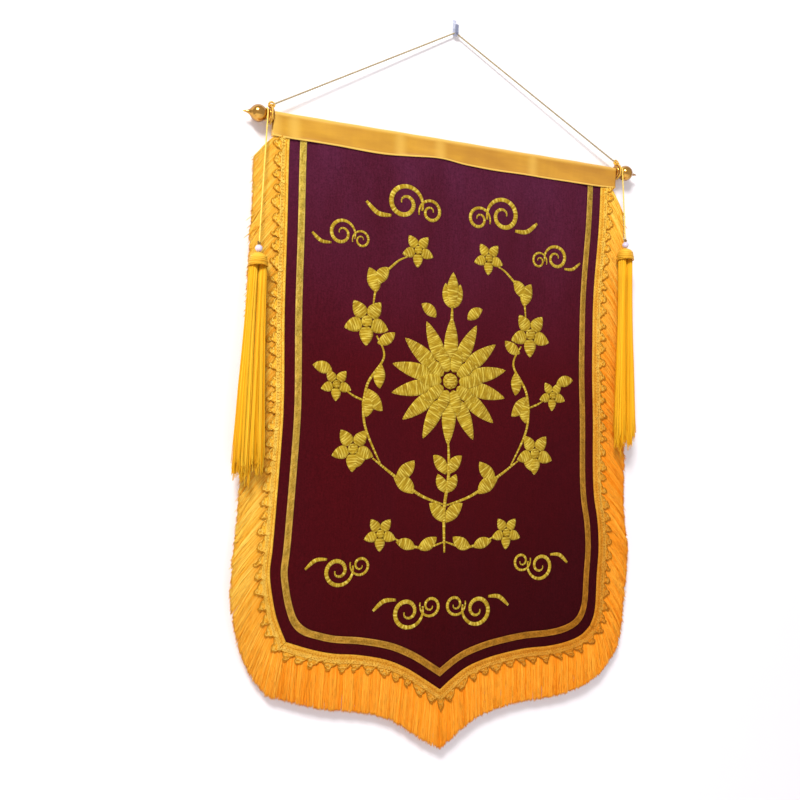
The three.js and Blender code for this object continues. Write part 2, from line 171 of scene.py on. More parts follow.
# Lines in the plane of the cloth are rows of x and height, where height is minus the drop.
def lengthsAlong(line):
    return np.concatenate([[0], np.cumsum(np.linalg.norm(np.diff(line, axis=0), axis=1))])


def evenly(line, count):
    lengths = lengthsAlong(line)
    wanted = np.linspace(0, lengths[-1], count)
    return np.stack([np.interp(wanted, lengths, column) for column in line.T], 1)


def throughPoints(rows, count):
    rows = np.array(rows, float)
    held = np.vstack([rows[:1], rows, rows[-1:]])
    share = np.linspace(0, 1, 24, endpoint=False)[:, None]
    line = []
    for before, start, end, after in zip(held, held[1:], held[2:], held[3:]):
        leave = (end - before) / 2
        arrive = (after - start) / 2
        cubic = 2 * start - 2 * end + leave + arrive
        square = 3 * end - 3 * start - 2 * leave - arrive
        line.append(((cubic * share + square) * share + leave) * share + start)
    return evenly(np.vstack(line + [rows[-1:]]), count)


def smoothstep(value, low, high):
    share = np.clip((value - low) / (high - low), 0, 1)
    return share * share * (3 - 2 * share)


# Where the pennant hangs, and the slow waves that its cloth hangs in.
hang = np.array([5, -16, -196])
waves = {
    "ripples": [(1.5, 24, 0.6), (0.7, 15, 2)],  # height, length and start of each
    "rippleFade": 220, "flute": 2.4, "fluteLength": 42, "fluteFrom": (150, 290), "fluteStart": (0.4, 2.1),
    "belly": 2, "bellyWidth": 600, "bellyHeight": 900,
    "foot": 3.5, "footWave": 1.8, "footLength": 48, "footFrom": (700, 920),
}


def clothDepth(x, drop):
    ripple = sum(rise * np.sin(x / length + start) for rise, length, start in waves["ripples"])
    ripple = np.exp(-drop / waves["rippleFade"]) * ripple
    fluteStart = np.where(x < 0, *waves["fluteStart"])
    flute = smoothstep(abs(x), *waves["fluteFrom"]) * waves["flute"]
    flute = flute * np.sin(drop / waves["fluteLength"] + fluteStart)
    belly = waves["belly"] * np.cos(math.pi * x / waves["bellyWidth"])
    belly = belly * np.sin(math.pi * drop / waves["bellyHeight"])
    foot = waves["foot"] + waves["footWave"] * np.sin(x / waves["footLength"] + 1)
    return ripple + flute - belly - smoothstep(drop, *waves["footFrom"]) * foot


def onCloth(x, height, lift):
    return (np.stack([x, clothDepth(x, -height) - lift, height], -1) + hang) * mm


# The sewn edge of the velvet: x and drop. The braid starts at it, and so does the ribbon's inset.
edge = {
    "stretches": [
        [(-290, 36), (-290, 180), (-288, 300), (-286, 400), (-285, 480), (-287, 560),
         (-290, 620), (-294, 680), (-297, 715), (-292, 750), (-283, 786), (-267, 823)],
        [(-267, 823), (-228, 836), (-191, 845), (-147, 850), (-100, 860), (-64, 875),
         (-34, 893), (-2, 914)],
        [(-2, 914), (18, 898), (43, 882), (70, 872), (105, 864), (157, 857), (206, 855),
         (244, 849), (272, 839), (290, 824)],
        [(290, 824), (299, 805), (303, 779), (304, 740), (305, 690), (300, 640), (291, 585),
         (288, 480), (280, 380), (280, 300), (283, 180), (289, 36)],
    ],
    "steps": 120,
    "distances": np.arange(-33, 46, 3),  # from inside the edge to outside it
}
stretches = [
    throughPoints([(x, -drop) for x, drop in rows], edge["steps"] + 1) for rows in edge["stretches"]
]
sewnEdge = np.vstack([stretches[0]] + [line[1:] for line in stretches[1:]])
edgeShare = lengthsAlong(sewnEdge) / lengthsAlong(sewnEdge)[-1]
edgeLength = lengthsAlong(sewnEdge)[-1]
cornerShare = edgeShare[:: edge["steps"]]


def outwardAlong(line):
    step = unit(np.diff(line, axis=0))
    square = np.stack([step[:, 1], -step[:, 0]], 1)
    middle = unit(square[:-1] + square[1:])
    middle = middle / np.sum(middle * square[:-1], axis=1)[:, None]  # longer at a bend, as a mitre is
    return np.vstack([square[:1], middle, square[-1:]])


def besideEdge(distance):
    line = sewnEdge + outwardAlong(sewnEdge) * distance
    apart = np.linalg.norm(line[:, None] - sewnEdge[None], axis=2).min(axis=1)
    clear = apart >= abs(distance) * 0.985
    parts = []
    for first in range(0, len(sewnEdge) - 1, edge["steps"]):
        own = np.arange(first, first + edge["steps"] + 1)
        keep = clear[own]
        keep[[0, -1]] = True
        parts.append(evenly(line[own[keep]], edge["steps"] + 1))
    return np.vstack([parts[0]] + [part[1:] for part in parts[1:]])


edgeLines = np.array([besideEdge(distance) for distance in edge["distances"]])


# The point of the cloth's plane at a share of the edge's length and a distance outside the edge.
def besideAt(share, distance):
    low, step = edge["distances"][0], edge["distances"][1] - edge["distances"][0]
    place = np.clip((distance - low) / step, 0, len(edgeLines) - 1.001)
    row = place.astype(int)
    part = place - row
    found = []
    for axis in (0, 1):
        across = np.array([np.interp(share, edgeShare, line[:, axis]) for line in edgeLines])
        picked = np.arange(len(share))
        found.append(across[row, picked] * (1 - part) + across[row + 1, picked] * part)
    return found


leftReach = stretches[0] * (-1, -1)  # reach to the left, drop
rightReach = stretches[3][::-1] * (1, -1)
footLine = np.vstack([stretches[1], stretches[2]]) * (1, -1)


def reachAt(share, drop):
    left = np.interp(drop, leftReach[:, 1], leftReach[:, 0])
    right = np.interp(drop, rightReach[:, 1], rightReach[:, 0])
    return np.where(share < 0, left, right)


# A node tree under construction. Each call adds a node and gives its sockets, or the one that is used on.
class Nodes:
    def __init__(self, tree):
        self.tree = tree

    def add(self, kind, links, **settings):
        node = self.tree.nodes.new("ShaderNode" + kind)
        for key, value in settings.items():
            setattr(node, key, value)
        for socket, value in links.items():
            self.link(value, node.inputs[socket])
        return node.outputs

    def link(self, value, socket):
        if isinstance(value, bpy.types.NodeSocket):
            self.tree.links.new(value, socket)
        else:
            socket.default_value = value

    def math(self, operation, first, second=0.0, third=0.0):
        return self.add("Math", {0: first, 1: second, 2: third}, operation=operation)[0]

    def times(self, first, second):
        return self.math("MULTIPLY", first, second)

    # The value's way from one end of a span to the other, as a way from low to high.
    def span(self, value, start, end, low, high, kind="LINEAR"):
        links = {0: value, 1: start, 2: end, 3: low, 4: high}
        return self.add("MapRange", links, interpolation_type=kind)[0]

    def blend(self, share, first, second, kind="MIX"):
        return self.add("Mix", {0: share, 6: first, 7: second}, data_type="RGBA", blend_type=kind)[2]

    def noise(self, vector, scale, detail=2.0, rough=0.5):
        links = {"Vector": vector, "Scale": scale, "Detail": detail, "Roughness": rough}
        return self.add("TexNoise", links)["Fac"]

    def ramp(self, share, low, middle, high, middleAt):
        node = self.add("ValToRGB", {0: share})[0].node
        stops = node.color_ramp.elements
        stops[0].color = low
        stops[1].color = high
        stops.new(middleAt).color = middle
        return node.outputs[0]

    def mapped(self, vector, scale, turn=(0, 0, 0)):
        return self.add("Mapping", {0: vector, 2: turn, 3: scale})[0]

    def split(self, vector):
        return self.add("SeparateXYZ", {0: vector})

    def group(self, group, **links):
        return self.add("Group", links, node_tree=group)


# Node groups that several materials share.
socketKinds = {type(None): "Vector", tuple: "Color", float: "Float"}
white = (1, 1, 1, 1)


def newGroup(name, inputs, outputs):
    group = bpy.data.node_groups.new(name, "ShaderNodeTree")
    for label, value in inputs.items():
        kind = "NodeSocket" + socketKinds[type(value)]
        socket = group.interface.new_socket(label, in_out="INPUT", socket_type=kind)
        if value is not None:
            socket.default_value = value
    for label, kind in outputs.items():
        group.interface.new_socket(label, in_out="OUTPUT", socket_type="NodeSocket" + kind)
    given = group.nodes.new("NodeGroupInput").outputs
    taken = group.nodes.new("NodeGroupOutput").inputs
    return Nodes(group), given, taken


# Soft tone: a colour that drifts to a second one in slow patches.
def makeToneGroup():
    inputs = {"Vector": None, "Colour": white, "Second": white, "Scale": 10.0, "Amount": 0.5}
    nodes, given, taken = newGroup("softTone", inputs, {"Colour": "Color"})
    patches = nodes.span(nodes.noise(given["Vector"], given["Scale"], 3.0, 0.55), 0.35, 0.65, 0.0, 1.0)
    share = nodes.times(patches, given["Amount"])
    nodes.link(nodes.blend(share, given["Colour"], given["Second"]), taken["Colour"])
    return nodes.tree


# Thread lines: ridges across one direction of the map, a little uneven.
def makeThreadGroup():
    inputs = {"Vector": None, "Pitch": mm, "Slant": 0.0, "Wobble": 0.3}
    nodes, given, taken = newGroup("threadLines", inputs, {"Height": "Float", "Groove": "Float"})
    split = nodes.split(given["Vector"])
    slanted = nodes.math("MULTIPLY_ADD", nodes.math("ABSOLUTE", split["Y"]), given["Slant"], split["X"])
    count = nodes.math("DIVIDE", slanted, given["Pitch"])
    moved = nodes.math("MULTIPLY_ADD", nodes.noise(given["Vector"], 260.0, 1.0), given["Wobble"], count)
    wave = nodes.math("SINE", nodes.times(moved, 2 * math.pi))
    height = nodes.math("POWER", nodes.math("MULTIPLY_ADD", wave, 0.5, 0.5), 0.5)
    nodes.link(height, taken["Height"])
    nodes.link(nodes.math("SUBTRACT", 1.0, height), taken["Groove"])
    return nodes.tree


# Plain weave: over and under in both directions of the map.
def makeWeaveGroup():
    inputs = {"Vector": None, "Pitch": mm, "Stretch": 1.0}
    nodes, given, taken = newGroup("plainWeave", inputs, {"Height": "Float", "Groove": "Float"})
    split = nodes.split(given["Vector"])
    along = nodes.math("DIVIDE", split["X"], given["Pitch"])
    across = nodes.math("DIVIDE", split["Y"], nodes.times(given["Pitch"], given["Stretch"]))
    waves = [nodes.math("SINE", nodes.times(count, math.pi)) for count in (along, across)]
    height = nodes.math("ABSOLUTE", nodes.times(*waves))
    nodes.link(height, taken["Height"])
    nodes.link(nodes.math("SUBTRACT", 1.0, nodes.math("POWER", height, 0.35)), taken["Groove"])
    return nodes.tree


# Shade falloff: a colour painted warmer and darker from the upper left to the lower right, painted shade
# away from the light at the upper left.
def makeDriftGroup():
    inputs = {"Vector": None, "Colour": white, "Tint": white, "Start": 0.0}
    nodes, given, taken = newGroup("shadeFalloff", inputs, {"Colour": "Color"})
    split = nodes.split(given["Vector"])
    whole = nodes.math("SUBTRACT", nodes.math("MULTIPLY_ADD", split["X"], 0.9, -0.43), split["Z"])
    share = nodes.span(whole, given["Start"], 1.0, 0.0, 1.0)
    tinted = nodes.blend(1.0, given["Colour"], given["Tint"], "MULTIPLY")
    nodes.link(nodes.blend(share, given["Colour"], tinted), taken["Colour"])
    return nodes.tree


softTone = makeToneGroup()
shadeFalloff = makeDriftGroup()
threadLines = makeThreadGroup()
plainWeave = makeWeaveGroup()


# A material under construction, with its shader's sockets, its place on the object and its map.
class Look(Nodes):
    def __init__(self, name, settings):
        self.material = bpy.data.materials.new(name)
        self.material.use_nodes = True
        super().__init__(self.material.node_tree)
        self.shader = self.tree.nodes["Principled BSDF"].inputs
        for socket, value in settings.items():
            self.shader[socket].default_value = value
        where = self.add("TexCoord", {})
        self.place = where["Object"]
        self.uv = where["UV"]

    def soft(self, colour, second, scale, amount, vector=None):
        vector = self.place if vector is None else vector
        links = {"Vector": vector, "Colour": colour, "Second": second, "Scale": scale, "Amount": amount}
        return self.group(softTone, **links)["Colour"]

    # Painted shade: the colour darkens and warms towards the lower right, away from the light.
    def warm(self, colour, tint, start=0.0):
        return self.group(shadeFalloff, Vector=self.place, Colour=colour, Tint=tint, Start=start)["Colour"]

    # The colour, the roughness as a value with its low and high, the bump as height, strength and depth.
    def finish(self, colour, rough=None, bump=None):
        self.link(colour, self.shader["Base Color"])
        if rough:
            self.link(self.span(rough[0], 0.0, 1.0, *rough[1:]), self.shader["Roughness"])
        if bump:
            height, strength, depth = bump
            links = {"Height": height, "Strength": strength, "Distance": depth * mm}
            self.link(self.add("Bump", links)[0], self.shader["Normal"])
        return self.material


# Velvet: short pile, deep red. Its colour is painted purple near the top as a painted sheen, and darker
# lower down as painted shade.
velvetLook = {
    "top": (0.080, 0.012, 0.034, 1), "middle": (0.066, 0.0030, 0.0055, 1), "low": (0.050, 0.0018, 0.0030, 1),
    "patch": (0.052, 0.003, 0.006, 1), "sheenTint": (0.80, 0.25, 0.40, 1), "falloff": (0.50, 0.45, 0.52, 1),
    "falloffStart": 0.3, "topHeight": -0.25, "lowHeight": -1.05, "middleAt": 0.42,
    "pileScale": 1100.0, "brushScale": (700.0, 700.0, 60.0), "crushScale": 330.0,
}


def makeVelvet():
    look = Look("velvet pile", {
        "Roughness": 0.9, "Sheen Weight": 0.12, "Sheen Roughness": 0.4,
        "Sheen Tint": velvetLook["sheenTint"], "Specular IOR Level": 0.05})
    # Painted sheen and painted shade: purple near the top, darker towards the bottom.
    height = look.split(look.place)["Z"]
    fall = look.span(height, velvetLook["topHeight"], velvetLook["lowHeight"], 0.0, 1.0)
    colour = look.ramp(fall, *[velvetLook[key] for key in ("top", "middle", "low", "middleAt")])
    colour = look.soft(colour, velvetLook["patch"], 14.0, 0.45, look.mapped(look.place, (1.0, 1.0, 0.35)))
    pile = look.noise(look.place, velvetLook["pileScale"])
    streaks = look.noise(look.mapped(look.place, velvetLook["brushScale"]), 1.0)
    speck = look.math("MULTIPLY_ADD", pile, 0.6, look.times(streaks, 0.4))
    crushed = look.noise(look.place, velvetLook["crushScale"], 1.0)
    for value, low, high in ((speck, 0.72, 1.25), (crushed, 0.84, 1.18)):
        colour = look.blend(1.0, colour, look.span(value, 0.3, 0.7, low, high), "MULTIPLY")
    # Painted shade towards the lower right.
    colour = look.warm(colour, velvetLook["falloff"], velvetLook["falloffStart"])
    return look.finish(colour, bump=(speck, 0.5, 0.35))


# Satin: smooth golden cloth with painted bands of light and shade, upright ones and level ones that lean a
# little.
satinLook = {
    "colour": (0.72, 0.38, 0.022, 1), "band": (0.46, 0.20, 0.010, 1), "bright": (0.90, 0.58, 0.10, 1),
    "falloff": (0.78, 0.62, 0.35, 1), "falloffStart": -0.6, "pitch": 0.45, "hem": 3.4,
    "bands": [((1.0, 0.2, 0.12), 0.0, 0.32), ((0.3, 0.2, 1.5), 0.12, 0.62)],
    "brightAt": (-0.312, -0.280, -0.100, -0.028, 0.150), "brightHalf": 0.016, "brightLean": 0.12,
}


def makeSatin():
    look = Look("golden satin", {
        "Sheen Weight": 0.1, "Sheen Roughness": 0.3, "Specular IOR Level": 0.6, "Anisotropic": 0.5})
    band = satinLook["band"]
    tone = satinLook["colour"]
    for scale, turn, amount in satinLook["bands"]:
        tone = look.soft(tone, band, 30.0, amount, look.mapped(look.place, scale, (0, turn, 0)))
    lines = look.group(threadLines, Vector=look.uv, Pitch=satinLook["pitch"] * mm, Wobble=0.6)
    # The grooves between threads are painted darker, painted shade.
    woven = look.blend(look.times(lines["Groove"], 0.25), tone, band)
    # Upright folds, the turned hem and the top of the rod are painted lighter than the rest: painted
    # highlights.
    place = look.split(look.place)
    lean = satinLook["brightLean"]
    leaning = look.math("MULTIPLY_ADD", place["Z"], lean, place["X"])
    light = 0.0
    for middle in satinLook["brightAt"]:
        offset = middle + lean * (hang[2] - 20) * mm
        apart = look.math("ABSOLUTE", look.math("SUBTRACT", leaning, offset))
        near = look.span(apart, 0.0, satinLook["brightHalf"], 0.45, 0.0, "SMOOTHSTEP")
        light = look.math("MAXIMUM", light, near)
    fromSeam = look.split(look.uv)["Y"]
    hem = satinLook["hem"] * mm
    # A thin line just above the hem's step is painted darker, painted shade.
    apart = look.math("ABSOLUTE", look.math("SUBTRACT", fromSeam, hem * 1.35))
    woven = look.blend(look.span(apart, 0.0, 1.1 * mm, 0.55, 0.0), woven, band)
    light = look.math("MAXIMUM", light, look.span(fromSeam, hem * 0.8, hem, 1.0, 0.0))
    light = look.math("MAXIMUM", light, look.span(place["Z"], -0.2055, -0.2, 0.0, 0.6))
    lit = look.blend(light, woven, satinLook["bright"])
    # Painted shade towards the lower right.
    colour = look.warm(lit, satinLook["falloff"], satinLook["falloffStart"])
    return look.finish(colour, (lines["Groove"], 0.36, 0.55), (lines["Height"], 0.35, 0.12))


# Ribbon: woven from metallic thread, lighter at its two edges, with dark flecks and painted glints, painted
# highlights, down its middle.
ribbonLook = {
    "colour": (0.58, 0.42, 0.066, 1), "edge": (0.72, 0.52, 0.11, 1), "fleck": (0.28, 0.16, 0.010, 1),
    "glint": (0.88, 0.72, 0.24, 1), "falloff": (0.65, 0.28, 0.06, 1), "falloffStart": -0.4,
    "pitch": 0.7, "stretch": 1.6, "width": 10.9, "fleckScale": 360.0, "turnScale": 70.0,
}


def makeRibbon():
    look = Look("metallic ribbon", {
        "Metallic": 0.4, "Specular IOR Level": 0.4, "Specular Tint": ribbonLook["colour"]})
    pitch = ribbonLook["pitch"] * mm
    weave = look.group(plainWeave, Vector=look.uv, Pitch=pitch, Stretch=ribbonLook["stretch"])
    across = look.math("DIVIDE", look.split(look.uv)["Y"], ribbonLook["width"] * mm)
    aside = look.math("ABSOLUTE", look.math("SUBTRACT", across, 0.5))
    rim = look.span(aside, 0.24, 0.42, 0.0, 1.0)
    colour = look.blend(rim, ribbonLook["colour"], ribbonLook["edge"])
    noise = look.noise(look.uv, ribbonLook["fleckScale"])
    inner = look.math("SUBTRACT", 1.0, look.times(rim, 0.7))
    flecks = look.times(look.span(noise, 0.5, 0.64, 0.0, 0.7), inner)
    colour = look.blend(flecks, colour, ribbonLook["fleck"])
    # Painted highlights: glints of the metallic thread.
    colour = look.blend(look.span(noise, 0.40, 0.28, 0.0, 0.8), colour, ribbonLook["glint"])
    # The weave's grooves are painted darker, painted shade.
    colour = look.blend(look.times(weave["Groove"], 0.55), colour, ribbonLook["fleck"])
    # Stretches of the ribbon painted lighter or darker, as if turned to the light or away from it: painted
    # light and shade.
    turned = look.noise(look.mapped(look.uv, (1.0, 2.0, 1.0)), ribbonLook["turnScale"])
    colour = look.blend(1.0, colour, look.span(turned, 0.35, 0.65, 0.74, 1.2), "MULTIPLY")
    # Painted shade towards the lower right.
    colour = look.warm(colour, ribbonLook["falloff"], ribbonLook["falloffStart"])
    return look.finish(colour, (weave["Groove"], 0.42, 0.65), (weave["Height"], 0.6, 0.2))


# Gold thread in several tones: embroidery, braid, trims and heads. Pitch and depth are in millimetres.
threadLook = {"strands": (420.0, 45.0, 1.0), "groundFrom": 14.2, "groundTo": 12.6, "gapScale": 430.0}


def makeThreadCloth(name, colour, second, pitch, slant=0.0, metal=0.0, rough=(0.38, 0.6), depth=0.25,
                    weave=False, shine=None, upright=False, ground=None, falloff=None):
    look = Look(name, {
        "Metallic": metal, "Sheen Weight": 0.15, "Sheen Roughness": 0.35, "Sheen Tint": colour,
        "Specular Tint": colour})
    if weave:
        lines = look.group(plainWeave, Vector=look.uv, Pitch=pitch * mm, Stretch=1.0)
    else:
        flat = look.place if upright else look.uv
        turned = look.mapped(flat, (1, 1, 1), (0, math.pi / 2 if upright else 0, 0))
        lines = look.group(threadLines, Vector=turned, Pitch=pitch * mm, Slant=slant, Wobble=0.5)
    # The grooves between threads are painted darker, painted shade; the tone also changes at random in slow
    # patches.
    threaded = look.blend(look.times(lines["Groove"], 0.7), look.soft(colour, second, 60.0, 0.55), second)
    if shine:
        # Strands a few threads wide painted lighter or darker, as if they lay to the light or away from it:
        # painted highlights and painted shade.
        strands = look.noise(look.mapped(look.uv, threadLook["strands"]), 1.0)
        threaded = look.blend(look.span(strands, 0.46, 0.34, 0.0, 0.6), threaded, second)
        threaded = look.blend(look.span(strands, 0.5, 0.66, 0.0, 0.85), threaded, shine)
    if ground:
        # The open work of a braid, outside its ribs, has its own tone, with painted shade between crossing
        # threads.
        across = look.split(look.uv)["Y"]
        outer = look.span(across, threadLook["groundFrom"] * mm, threadLook["groundTo"] * mm, 0.0, 0.85)
        threaded = look.blend(outer, threaded, ground)
        gaps = look.noise(look.place, threadLook["gapScale"])
        threaded = look.blend(look.span(gaps, 0.48, 0.6, 0.0, 0.8), threaded, second)
    # Painted shade towards the lower right.
    if falloff:
        threaded = look.warm(threaded, falloff)
    return look.finish(threaded, (lines["Groove"], *rough), (lines["Height"], 0.7, depth))


# Loose threads: each has its own tone, from the map's first number, and is painted darker towards its root,
# painted shade under the braid or head.
def makeYarn(name, dark, middle, light, paintedLightTint, rootShade):
    look = Look(name, {
        "Sheen Weight": 0.3, "Sheen Roughness": 0.3, "Sheen Tint": light, "Specular IOR Level": 0.3,
        "Specular Tint": light})
    split = look.split(look.uv)
    tone = look.ramp(split["X"], dark, middle, light, 0.45)
    rooted = look.blend(look.span(split["Y"], 0.0, 0.35, rootShade, 0.0), tone, dark)
    # Higher up and to the left the yarn is painted lighter and yellower, painted light from the upper left.
    place = look.split(look.place)
    slope = look.math("MULTIPLY_ADD", place["X"], -0.9, place["Z"])
    colour = look.blend(look.span(slope, -0.88, -0.55, 0.0, 1.0), rooted, paintedLightTint, "MULTIPLY")
    noise = look.noise(look.place, 900.0, 1.0)
    return look.finish(colour, (noise, 0.3, 0.6), (noise, 0.3, 0.15))


# Twisted cord: fine fibres along the strands, in two tones.
def makeCordLook(name, colour, second):
    look = Look(name, {"Sheen Weight": 0.2, "Sheen Roughness": 0.4})
    fibre = look.noise(look.place, 2600.0, 1.0)
    return look.finish(look.soft(colour, second, 350.0, 0.7), (fibre, 0.45, 0.75), (fibre, 0.4, 0.1))


# Bright gold plating with small scuffs, its colour painted dark brown where it is seen edge-on: a painted
# reflection.
def makeGilt():
    look = Look("bright gilt", {"Metallic": 1.0, "Coat Weight": 0.3})
    tone = look.soft((0.74, 0.40, 0.075, 1), (0.46, 0.20, 0.025, 1), 90.0, 0.6)
    scuffs = look.noise(look.place, 700.0, 4.0)
    rim = look.span(look.add("LayerWeight", {"Blend": 0.5})["Facing"], 0.25, 0.85, 0.0, 0.8)
    colour = look.blend(rim, tone, (0.13, 0.05, 0.02, 1))
    return look.finish(colour, (scuffs, 0.08, 0.26), (scuffs, 0.1, 0.05))


def makePearl():
    look = Look("pearl bead", {
        "Coat Weight": 0.8, "Coat Roughness": 0.06, "Subsurface Weight": 0.1, "Specular IOR Level": 0.6,
        "Roughness": 0.18})
    return look.finish(look.soft((0.70, 0.66, 0.78, 1), (0.46, 0.41, 0.64, 1), 160.0, 0.7))


# Clear plastic with a little haze, painted darker at its rims and in the lip in front: painted shade.
def makeClearPlastic():
    look = Look("milky plastic", {"Transmission Weight": 0.4, "IOR": 1.46, "Specular IOR Level": 0.6})
    rim = look.span(look.add("LayerWeight", {"Blend": 0.5})["Facing"], 0.35, 0.75, 0.0, 1.0)
    lip = look.span(look.split(look.place)["Y"], -8 * mm, -11 * mm, 0.0, 0.85)
    body = look.blend(look.math("MAXIMUM", rim, lip), (0.78, 0.81, 0.92, 1), (0.16, 0.18, 0.28, 1))
    haze = look.noise(look.place, 500.0)
    return look.finish(look.soft(body, (0.30, 0.33, 0.48, 1), 120.0, 0.5), (haze, 0.15, 0.35))


def makeRodWood():
    look = Look("rod wood", {"Specular IOR Level": 0.4})
    grain = look.mapped(look.place, (0.08, 1.0, 1.0))
    tone = look.soft((0.50, 0.33, 0.16, 1), (0.30, 0.17, 0.07, 1), 900.0, 0.8, grain)
    return look.finish(tone, (look.math("ABSOLUTE", tone), 0.5, 0.7))


velvetMaterial = makeVelvet()
satinMaterial = makeSatin()
ribbonMaterial = makeRibbon()
stitchMaterial = makeThreadCloth(
    "gold stitching", (0.59, 0.40, 0.026, 1), (0.25, 0.13, 0.007, 1), 0.8, slant=0.7, metal=0.15,
    shine=(0.86, 0.71, 0.13, 1))
braidMaterial = makeThreadCloth(
    "braid", (1.0, 0.71, 0.105, 1), (0.70, 0.30, 0.016, 1), 2.4, rough=(0.45, 0.7), depth=0.5, weave=True,
    ground=(0.97, 0.54, 0.05, 1), falloff=(0.66, 0.36, 0.16, 1))
gimpMaterial = makeThreadCloth(
    "brown gimp", (0.74, 0.35, 0.022, 1), (0.44, 0.17, 0.008, 1), 1.6, depth=0.2,
    falloff=(0.60, 0.40, 0.30, 1))
creamGimpMaterial = makeThreadCloth(
    "cream gimp", (1.0, 0.76, 0.16, 1), (0.84, 0.46, 0.035, 1), 1.6, depth=0.2, falloff=(0.66, 0.36, 0.16, 1))
fringeMaterial = makeYarn(
    "fringe yarn", (0.78, 0.17, 0.002, 1), (0.92, 0.30, 0.012, 1), (1.0, 0.50, 0.055, 1),
    paintedLightTint=(1.0, 1.5, 2.6, 1), rootShade=0.4)
tasselMaterial = makeYarn(
    "tassel yarn", (0.75, 0.165, 0.002, 1), (0.88, 0.37, 0.005, 1), (0.95, 0.58, 0.036, 1),
    paintedLightTint=(1.0, 1.06, 1.3, 1), rootShade=0.1)
headMaterial = makeThreadCloth(
    "tassel head", (1.0, 0.62, 0.065, 1), (0.72, 0.34, 0.02, 1), 1.5, depth=0.5, upright=True)
rimMaterial = makeThreadCloth("tassel rim", (0.90, 0.48, 0.035, 1), (0.55, 0.26, 0.012, 1), 1.6, depth=0.2)
hangingCordMaterial = makeCordLook("tan cord", (0.45, 0.365, 0.20, 1), (0.265, 0.20, 0.095, 1))
tasselCordMaterial = makeCordLook("yellow cord", (0.96, 0.74, 0.12, 1), (0.80, 0.50, 0.04, 1))
# The knot is the yellow tassel cord, given a dark brown colour as painted shade.
shadedKnotMaterial = makeCordLook("dark knot", (0.30, 0.14, 0.018, 1), (0.14, 0.055, 0.006, 1))
knotMaterial = makeCordLook("gold knot", (0.86, 0.50, 0.04, 1), (0.48, 0.22, 0.012, 1))
giltMaterial = makeGilt()
pearlMaterial = makePearl()
hookMaterial = makeClearPlastic()
rodMaterial = makeRodWood()
print("materials made:", len(bpy.data.materials))


# Round cords: a tube through centres, its strands raised and turned round it.
def alongFrames(centres):
    along = unit(np.gradient(centres, axis=0))
    side = unit(np.cross(along[0], (0.3, 1.0, 0.2)))
    sides = []
    for direction in along:
        side = unit(side - direction * np.dot(side, direction))
        sides.append(side)
    sides = np.array(sides)
    return sides, np.cross(along, sides)


def layTube(name, centres, radius, around, strands=0, twist=8.0, ridge=0.0):
    sides, ups = alongFrames(centres)
    lengths = lengthsAlong(centres)
    last = len(centres) - 1

    def shape(u, v):
        row = np.rint(v * last).astype(int)
        angle = 2 * math.pi * u
        turned = angle - 2 * math.pi * lengths[row] / (twist * mm)
        reach = radius * mm * (1 + ridge * (np.abs(np.cos(turned * strands / 2)) - 1))
        across, deep = [(wave(angle) * reach)[:, None] for wave in (np.cos, np.sin)]
        return centres[row] + across * sides[row] + deep * ups[row]

    piece = layGrid(name, around, last, shape, 2 * math.pi * radius * mm, lengths[-1])
    openMesh("VERT")
    bpy.ops.mesh.remove_doubles(threshold=1e-6)
    bpy.ops.mesh.fill_holes(sides=0)
    closeMesh()
    return piece


# Places round an upright axis: a ring, a coil or, where its depth is less than its reach, an eye.
def coil(turn, reach, rise, depth=None):
    depth = reach if depth is None else depth
    return np.stack([np.cos(turn) * reach, np.sin(turn) * depth, rise + 0 * turn], 1)


# A cord's own values: its tube is laid by them.
def layCord(name, size, route, strands):
    return layTube(name, route, size["radius"], 12, strands, size["twist"], size["ridge"])


# A smooth run through places in the wall's frame, in millimetres, at an even step.
def smoothRoute(places, step):
    line = throughPoints(places, 2000)
    return evenly(line, int(lengthsAlong(line)[-1] / step) + 1) * mm


# The hanging cord from the left knot over the hook to the right knot.
hangingCord = {
    "route": [
        (-313.7, -15.9, -185.4), (-276.6, -14.7, -164.3), (-227.1, -13.2, -136.2),
        (-177.6, -11.6, -108.1), (-128.2, -10.1, -80), (-78.7, -8.5, -51.9),
        (-35.4, -7.2, -27.3), (-13.7, -6.5, -15), (-4.4, -6.2, -9.8), (-2.3, -6.2, -8.9),
        (0, -6.2, -8.6), (2.3, -6.2, -8.9), (4.3, -6.2, -9.7), (13.9, -6.5, -15),
        (36.3, -7.2, -27.3), (81, -8.5, -51.9), (132.1, -10.1, -80), (183.2, -11.6, -108.1),
        (234.3, -13.2, -136.2), (285.4, -14.7, -164.4), (323.7, -15.9, -185.4),
    ],
    "radius": 1.5, "length": 730, "twist": 9.0, "ridge": 0.42,
    "loopRadius": 13, "loopX": 323, "loopHeight": -7, "knotHeight": 15.2, "knotReach": 3.1, "knotTurns": 1.6,
    "knotRise": 2.4, "eyeReach": 4.4, "eyeDepth": 1.2, "eyePlace": (1.5, 0, 1.4),
}


